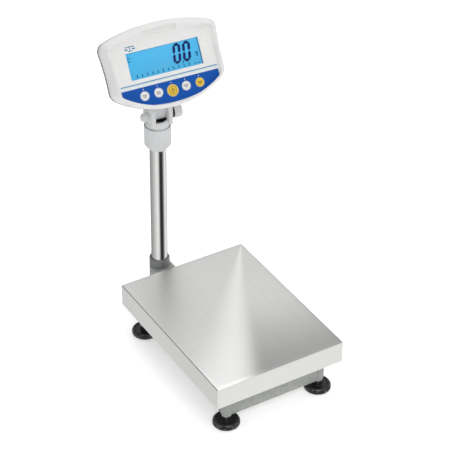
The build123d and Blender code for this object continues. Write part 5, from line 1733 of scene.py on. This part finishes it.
class BENCHSCALE_OT_knob(ScalePiece, bpy.types.Operator):
    """Makes the fluted clamp knob"""

    bl_idname = "benchscale.knob"
    bl_label = "Clamp knob"

    def build(self, sizes):
        start, end = KNOB_START, KNOB_START + KNOB_LONG
        profile = rounded([(4.06, start + 14), (4.06, start), (14.6, start), (KNOB_R, start + 1.0), (KNOB_R, start + 4),
                           (KNOB_R, start + 9), (KNOB_R, end - 3), (KNOB_R, end), (12.2, end), (11.4, end - 1.2),
                           (0, end - 1.2)], [0, 0.3, 0.6, 0.6, 0, 0, 0, 2.0, 0.5, 0.5, 0], 4)
        closed = [(0, start + 14)] + profile
        values = {"Count": sizes.knob_flutes, "Radius": KNOB_R, "Depth": 1.2, "Sharpness": 2.6, "Low": start + 0.4,
                  "High": end - 0.6, "Ease": 1.6, "Band": 2.2}
        fluted("knob_moulding", turned(closed, sizes.knob_flutes * 10), SHAFT, "clamp_plastic", "knob",
               "clamp_white", ["clamp_knob"], values, degrees=GRIP_SHARP)


class BENCHSCALE_OT_front_shell(ScalePiece, bpy.types.Operator):
    """Moulds the front shell with its sloped rim, sunk panel, window and key holes"""

    bl_idname = "benchscale.front_shell"
    bl_label = "Front shell"

    def build(self, sizes):
        on_head("front_moulding", front_shell_shape(), "housing_plastic", "housing_white", "front_bezel",
                degrees=SHELL_SHARP)


class BENCHSCALE_OT_rear_shell(ScalePiece, bpy.types.Operator):
    """Moulds the rear shell, its gasket, seam teeth and screws"""

    bl_idname = "benchscale.rear_shell"
    bl_label = "Rear shell"

    def build(self, sizes):
        on_head("rear_moulding", rear_shell_shape(), "housing_plastic", "housing_white", "rear_housing",
                degrees=SHELL_SHARP)
        rings = [at_depth(shell_outline(i, i), z) for i, z in
                 ((0.1, SEAM_BACK), (0.1, SEAM_FRONT), (3.8, SEAM_FRONT), (3.8, SEAM_BACK))]
        on_head("seam_gasket", stack(rings, closed=True), "soft_rubber", "black_rubber", "head_gasket")
        half = (SEAM_FRONT - SEAM_BACK) / 2
        tooth = plate(-0.45, 0.45, -0.72, 0.72, -half - 0.2, half + 0.2, 0.15, 0.3)
        path = moved_points(FACE, at_depth(shell_outline(0.75, 0.75), (SEAM_FRONT + SEAM_BACK) / 2))
        copies_along("seam_teeth", tooth, [path], 0.0072, FACE_N, "housing_plastic", "head", "housing_white",
                     closed=True)
        spots = [(-84, 20), (84, 20), (-84, -36), (84, -36), (-58, -57), (58, -57)]
        points = moved_points(FACE, [(x, y, BACK) for x, y in spots])
        screws_at("case_screws", pan_screw(*CROSS_HEAD, 6.0), points, -FACE_N, "head", "housing_screws",
                  seed=3, degrees=GRIP_SHARP)


def seven_segments(lit, x, y, width, height, thick, slant, z0, z1):
    """(verts, faces) of the lit segments of one digit, centred on (x, y)."""
    half_w, half_h, t, gap = width / 2, height / 2, thick / 2, thick * 0.04
    arms = {
        "a": ((-half_w, half_h), (half_w, half_h)),
        "g": ((-half_w, 0), (half_w, 0)),
        "d": ((-half_w, -half_h), (half_w, -half_h)),
        "f": ((-half_w, 0), (-half_w, half_h)),
        "b": ((half_w, 0), (half_w, half_h)),
        "e": ((-half_w, -half_h), (-half_w, 0)),
        "c": ((half_w, -half_h), (half_w, 0)),
    }
    parts = []
    for name in lit:
        (x0, y0), (x1, y1) = arms[name]
        flat = abs(y0 - y1) < 1e-6
        if flat:
            ends = [(x0 + gap, y0), (x0 + gap + t, y0 + t), (x1 - gap - t, y1 + t), (x1 - gap, y1),
                    (x1 - gap - t, y1 - t), (x0 + gap + t, y0 - t)]
        else:
            ends = [(x0, y0 + gap), (x0 - t, y0 + gap + t), (x0 - t, y1 - gap - t), (x0, y1 - gap),
                    (x0 + t, y1 - gap - t), (x0 + t, y0 + gap + t)]
        lean = [(x + px + py * slant, y + py) for px, py in ends]
        parts.append(slanted_bar(lean, z0, z1))
    return join_parts(parts)


class BENCHSCALE_OT_display(ScalePiece, bpy.types.Operator):
    """Lights the display and lays its digits, bar ticks, marks and window"""

    bl_idname = "benchscale.display"
    bl_label = "Display"

    def build(self, sizes):
        paint_node("display_lens", "window_clear")
        glass = plate(-WINDOW_X - 4.5, WINDOW_X + 4.5, -WINDOW_Y - 4, WINDOW_Y + 4, -12.0, -3.35, 0.3, 0.8)
        on_head("display_glass", glass, "display_blue", "display_blue", "display_module")
        low, high = DISPLAY_LOW, DISPLAY_HIGH
        ring = "abcdef"
        zero = [seven_segments(ring, x, 4.7, 12.0, 36.0, 6.0, 0.15, low, high) for x in (29.5, 51.7)]
        point = slanted_bar([(37.4, -16.6), (40.6, -16.6), (41.0, -13.6), (37.8, -13.6)], low, high)
        on_head("display_digits", join_parts(zero + [point]), "digit_ink", "display_blue")
        marks = [seven_segments("abfgcd", 72.2, -5.0, 4.0, 7.6, 1.7, 0.12, low, high)]
        marks += self.arrows(low, high)
        marks += [plate(x, x + w, -24.6, -22.9, low, high, 0.02, 0.1) for x, w in ((62.0, 2.2), (65.4, 1.2),
                                                                                 (68.4, 3.0), (73.0, 3.4))]
        on_head("display_marks", join_parts(marks), "digit_ink", "display_blue")
        values = {"Count": sizes.ticks, "Pitch": TICK_PITCH, "Wide": 1.7, "High": 5.4, "Thick": 0.1,
                  "Material": finish("digit_ink")}
        place = FACE @ Matrix.Translation((TICK_FIRST, -21.9, -3.27))
        ticks = grown("display_ticks", ([(0, 0, 0)], [], []), ticks_tree, values, place)
        settle(ticks, "head", "display_blue")
        base_line = []
        for i in range(sizes.ticks):
            x = TICK_FIRST + TICK_PITCH * i
            base_line.append(plate(x - 2.6, x + 0.4, -25.2, -24.5, low, high, 0.02, 0.1))
        on_head("display_tick_feet", join_parts(base_line), "faint_ink", "display_blue")
        # The dark strip along the window's right edge is painted shade, where the window's wall shades the display. A
        # thinner dark strip runs along the top edge.
        edge = plate(WINDOW_X - 1.5, WINDOW_X - 0.25, -WINDOW_Y + 0.4, WINDOW_Y - 0.4, low, high, 0.03, 0.3)
        top = plate(-WINDOW_X + 0.4, WINDOW_X - 0.4, WINDOW_Y - 0.75, WINDOW_Y - 0.25, low, high, 0.03, 0.2)
        on_head("display_border", join_parts([edge, top]), "digit_ink", "display_blue")

    def arrows(self, low, high):
        """Two small level marks at the upper left."""
        parts = []
        for y in (17.5, 11.2):
            parts.append(slanted_bar([(-79.0, y + 2.2), (-74.8, y), (-79.0, y - 2.2), (-78.0, y)], low, high))
            parts.append(plate(-73.8, -71.8, y - 0.9, y + 0.9, low, high, 0.02, 0.2))
        return parts


class BENCHSCALE_OT_keypad(ScalePiece, bpy.types.Operator):
    """Lays the keypad film, its rings and markers, the stripe and the balance emblem"""

    bl_idname = "benchscale.keypad"
    bl_label = "Keypad film"

    def build(self, sizes):
        top = at_depth(keypad_outline(0.1), 0.0)
        low = at_depth(keypad_outline(0.1), -FILM)
        holes_top, holes_low = key_rings(HOLE_GAP, 0.0), key_rings(HOLE_GAP, -FILM)
        parts = [filled([top] + holes_top), filled([low] + holes_low), wall([top, low])]
        parts += [wall([a, b]) for a, b in zip(holes_top, holes_low)]
        on_head("keypad_film", join_parts(parts), "keypad_film", "keypad_blue", "keypad_overlay")
        self.printing()

    def printing(self):
        z0, z1 = PRINT_LOW, PRINT_HIGH
        rings = []
        for index, ((x, y), radius) in enumerate(zip(KEY_SPOTS, KEY_RADII)):
            loop = [(radius + 0.5, z0), (radius + 1.3, z0), (radius + 1.3, z1), (radius + 0.5, z1)]
            verts, faces = turned_loop(loop, 64)
            rings.append((index, ([(x + vx, y + vy, vz) for vx, vy, vz in verts], faces)))
        white = join_parts([shape for index, shape in rings if index in (0, 1, 3)])
        cream = join_parts([shape for index, shape in rings if index in (2, 4)])
        on_head("key_rings_white", white, "white_ink", "keypad_blue")
        on_head("key_rings_cream", cream, "cream_ink", "keypad_blue")
        edge = plate(-109.6, 109.6, KEYPAD_TOP - 0.9, KEYPAD_TOP - 0.15, z0, z1, 0.02, 0.2)
        on_head("film_edge", edge, "white_ink", "keypad_blue")
        on_head("teal_stripe", plate(-109.4, 109.4, -38.0, -36.2, z0, z1, 0.02, 0.3), "stripe_ink", "keypad_blue")
        on_head("pale_stripe", plate(-109.4, 109.4, -39.7, -38.7, z0, z1, 0.02, 0.3), "pale_stripe_ink", "keypad_blue")
        marker = slanted_bar([(-1.0, -0.9), (1.0, -0.9), (1.0, 0.2), (0, 1.2), (-1.0, 0.2)], z0, z1)
        points = moved_points(FACE, [(x, -50.0, 0.0) for x, y in KEY_SPOTS])
        lean = turned_to_face(marker)
        copies_at("key_markers", lean, points, UP, "white_ink", "head", "keypad_blue")
        on_head("balance_emblem", balance_emblem(z0, z1), "stripe_ink", "keypad_blue")


def turned_to_face(shape):
    """A flat print turned from lying flat to lying on the face, for copies that keep the row's upright."""
    turn = FACE.to_3x3() @ Matrix.Scale(1 / MM, 3)
    return [tuple(turn @ Vector(v)) for v in shape[0]], shape[1]


def balance_emblem(z0, z1):
    """A plain two-pan balance, as a generic mark at the panel's upper left."""
    x, y = -70.0, 36.4
    parts = [plate(x - 10.6, x + 10.6, y + 3.4, y + 5.0, z0, z1, 0.02, 0.5),
             plate(x - 0.9, x + 0.9, y - 4.6, y + 5.8, z0, z1, 0.02, 0.5),
             plate(x - 5.2, x + 5.2, y - 5.6, y - 4.0, z0, z1, 0.02, 0.6)]
    for side in (-1, 1):
        middle = x + side * 8.2
        bowl = [(middle + 4.0 * math.cos(a), y + 0.2 + 2.8 * math.sin(a)) for a in
                [math.radians(180 + 18 * k) for k in range(11)]]
        parts.append(slanted_bar(bowl, z0, z1))
        parts.append(plate(middle - 0.4, middle + 0.4, y, y + 3.6, z0, z1, 0.02, 0.2))
    return join_parts(parts)


class BENCHSCALE_OT_keys(ScalePiece, bpy.types.Operator):
    """Moulds the five round keys with plain legends"""

    bl_idname = "benchscale.keys"
    bl_label = "Keys"

    def build(self, sizes):
        for index, ((x, y), radius) in enumerate(zip(KEY_SPOTS, KEY_RADII)):
            number = index + 1
            bright = number in (3, 5)
            material = "key_yellow" if bright else "key_white"
            place = FACE @ Matrix.Translation((x, y, 0))
            slot = slot_of_node("key_%d" % number)
            profile = rounded([(0, -14.9), (3.0, -14.9), (3.0, -4.5), (radius + 1.2, -4.5), (radius + 1.2, -3.3),
                               (radius, -3.3), (radius, 0.62), (radius - 1.4, 0.84), (0, 0.9)],
                              [0, 0.3, 0, 0.2, 0.2, 0, 0.45, 0.6, 0], 4)
            made("key_cap_%d" % number, turned(profile, 64), place, material, "key_%d" % number, slot,
                 "key_%d" % number)
            made("key_legend_%d" % number, self.legend(number), place,
                 "legend_brown" if bright else "legend_ink", "key_%d" % number, slot)

    def legend(self, number):
        """Bars and simple signs, no words."""
        z0, z1 = 0.86, 0.95
        if number == 3:
            loop = [(7.6, z0), (8.4, z0), (8.4, z1), (7.6, z1)]
            diamond = [(0, 5.6), (4.8, 0), (0, -5.6), (-4.8, 0)]
            inner = [(0, 3.9), (3.3, 0), (0, -3.9), (-3.3, 0)]
            sides = [slanted_bar([diamond[i], diamond[(i + 1) % 4], inner[(i + 1) % 4], inner[i]], z0, z1)
                     for i in range(4)]
            bar = plate(-0.6, 0.6, -2.0, 2.0, z0, z1, 0.02, 0.2)
            return join_parts([turned_loop(loop, 64), bar] + sides)
        rows = {1: ((1.6, 5.2), (-1.9, 3.4)), 2: ((1.6, 4.2), (-1.9, 4.0)), 4: ((1.6, 5.4), (-1.9, 2.8)),
                5: ((1.4, 5.0), (-2.0, 4.0))}[number]
        parts = []
        for y, half in rows:
            count = 4
            step = 2 * half / count
            parts += [plate(-half + step * k, -half + step * (k + 0.72), y - 1.0, y + 1.0, z0, z1, 0.02, 0.12)
                      for k in range(count)]
        return join_parts(parts)


class BENCHSCALE_OT_sockets(ScalePiece, bpy.types.Operator):
    """Makes the rear plate and its three sockets with their pins"""

    bl_idname = "benchscale.sockets"
    bl_label = "Rear sockets"

    def build(self, sizes):
        eased("connector_plate", sizes.metal_edge, "zinc_plate")
        outer, inner = BACK - REAR_PLATE, BACK + 14.0
        y = SOCKET_MIDDLE
        parts = [self.block(14.0, 10.0, 2.2, -42.0, y, outer, inner), self.block(15.5, 6.5, 3.0, 0.0, y, outer, inner)]
        barrel = rounded([(0, inner), (8.0, inner), (8.0, outer), (6.2, outer), (6.2, outer + 6), (0, outer + 6)],
                         [0, 0, 0.5, 0.3, 0.2, 0], 3)
        verts, faces = turned(barrel, 64)
        parts.append(([(vx + 42.0, vy + y, vz) for vx, vy, vz in verts], faces))
        on_head("socket_bodies", join_parts(parts), "socket_plastic", "black_plastic", "connectors")
        pin = turned([(0, -0.5), (0.5, -0.5), (0.5, 4.0), (0.3, 4.5), (0, 4.5)], 12)
        spots = [(-5.5 + 2.75 * k, y + 1.4) for k in range(5)] + [(-4.1 + 2.75 * k, y - 1.4) for k in range(4)]
        spots += [(42.0 + 3.4 * math.cos(a), y + 3.4 * math.sin(a)) for a in
                  [math.radians(45 + 67.5 * k) for k in range(5)]]
        copies_at("socket_pins", pin, moved_points(FACE, [(x, t, outer + 6) for x, t in spots]), -FACE_N, "pin_gold",
                  "head", "black_plastic")
        blade = plate(-0.8, 0.8, -2.0, 2.0, -0.5, 4.5, 0.2, 0.3)
        blades = [(-46.5, y - 1.5), (-42.0, y + 2.5), (-37.5, y - 1.5)]
        shape = turned_to_face(blade)
        mirrored = [tuple(Vector(v) - 2 * Vector(v).dot(FACE_N) * FACE_N) for v in shape[0]], shape[1]
        copies_at("inlet_blades", mirrored, moved_points(FACE, [(x, t, outer + 6) for x, t in blades]), UP,
                  "zinc_plate", "head", "black_plastic")

    def block(self, half_x, half_y, corner, x, y, outer, inner):
        """A socket body with a sunk mouth."""
        path = [(0.0, inner), (0.0, outer), (1.8, outer), (1.8, outer + 6)]
        path = rounded(path, [0, 0.6, 0.3, 0], 3)
        rings = [rectangle_ring(half_x - i, half_y - i, max(corner - i * 0.6, 0.5), z, centre=(x, y))
                 for i, z in path]
        return stack(rings)


class BENCHSCALE_OT_bracket(ScalePiece, bpy.types.Operator):
    """Eases the tilt bracket and sets its screws"""

    bl_idname = "benchscale.bracket"
    bl_label = "Tilt bracket"

    def build(self, sizes):
        eased("tilt_bracket", sizes.clamp_edge * 0.8, "clamp_plastic", segments=3)
        seat = BACK - REAR_PLATE
        spots = [(x, y, seat) for x in (-23, 23) for y in (-20, -62)]
        copies_at("bracket_pan_screws", pan_screw(*CROSS_HEAD, 7.8), moved_points(FACE, spots), -FACE_N,
                  "zinc_plate", "head", "zinc_steel", "bracket_screws", turn=ANY_TURN, seed=11, degrees=GRIP_SHARP)


class BENCHSCALE_OT_inner_parts(ScalePiece, bpy.types.Operator):
    """Finishes the board and the battery inside the head"""

    bl_idname = "benchscale.inner_parts"
    bl_label = "Inner parts"

    def build(self, sizes):
        paint_node("circuit_board", "board_green")
        eased("battery_pack", sizes.frame_edge, "battery_case")


OPERATORS = (BENCHSCALE_OT_stage, BENCHSCALE_OT_pan, BENCHSCALE_OT_base_frame, BENCHSCALE_OT_load_parts,
             BENCHSCALE_OT_feet, BENCHSCALE_OT_rear_arm, BENCHSCALE_OT_column, BENCHSCALE_OT_sleeve,
             BENCHSCALE_OT_yoke, BENCHSCALE_OT_knob, BENCHSCALE_OT_front_shell, BENCHSCALE_OT_rear_shell,
             BENCHSCALE_OT_display, BENCHSCALE_OT_keypad, BENCHSCALE_OT_keys, BENCHSCALE_OT_sockets,
             BENCHSCALE_OT_bracket, BENCHSCALE_OT_inner_parts)
GROUP_CLASSES = (ScaleSizes, ScaleColours, StageSettings)


class BENCHSCALE_PT_panel(bpy.types.Panel):
    """Lists the scale's pieces and their settings"""

    bl_idname = "BENCHSCALE_PT_panel"
    bl_label = "Bench Scale"
    bl_space_type = "VIEW_3D"
    bl_region_type = "UI"
    bl_category = "Bench Scale"

    def draw(self, context):
        for settings in (context.scene.scale_sizes, context.scene.scale_colours, context.scene.scale_stage):
            column = self.layout.column(align=True)
            for name in settings.__annotations__:
                column.prop(settings, name)
        for operator in OPERATORS:
            self.layout.operator(operator.bl_idname)


def register():
    for cls in GROUP_CLASSES + OPERATORS + (BENCHSCALE_PT_panel,):
        bpy.utils.register_class(cls)
    bpy.types.Scene.scale_sizes = bpy.props.PointerProperty(type=ScaleSizes)
    bpy.types.Scene.scale_colours = bpy.props.PointerProperty(type=ScaleColours)
    bpy.types.Scene.scale_stage = bpy.props.PointerProperty(type=StageSettings)


def unregister():
    del bpy.types.Scene.scale_stage
    del bpy.types.Scene.scale_colours
    del bpy.types.Scene.scale_sizes
    for cls in reversed(GROUP_CLASSES + OPERATORS + (BENCHSCALE_PT_panel,)):
        bpy.utils.unregister_class(cls)


def main():
    register()
    for operator in OPERATORS:
        name = operator.bl_idname.split(".")[1]
        result = getattr(bpy.ops.benchscale, name)()
        if "FINISHED" not in result:
            raise RuntimeError("%s didn't finish" % operator.bl_label)


if __name__ == "__main__":
    main()
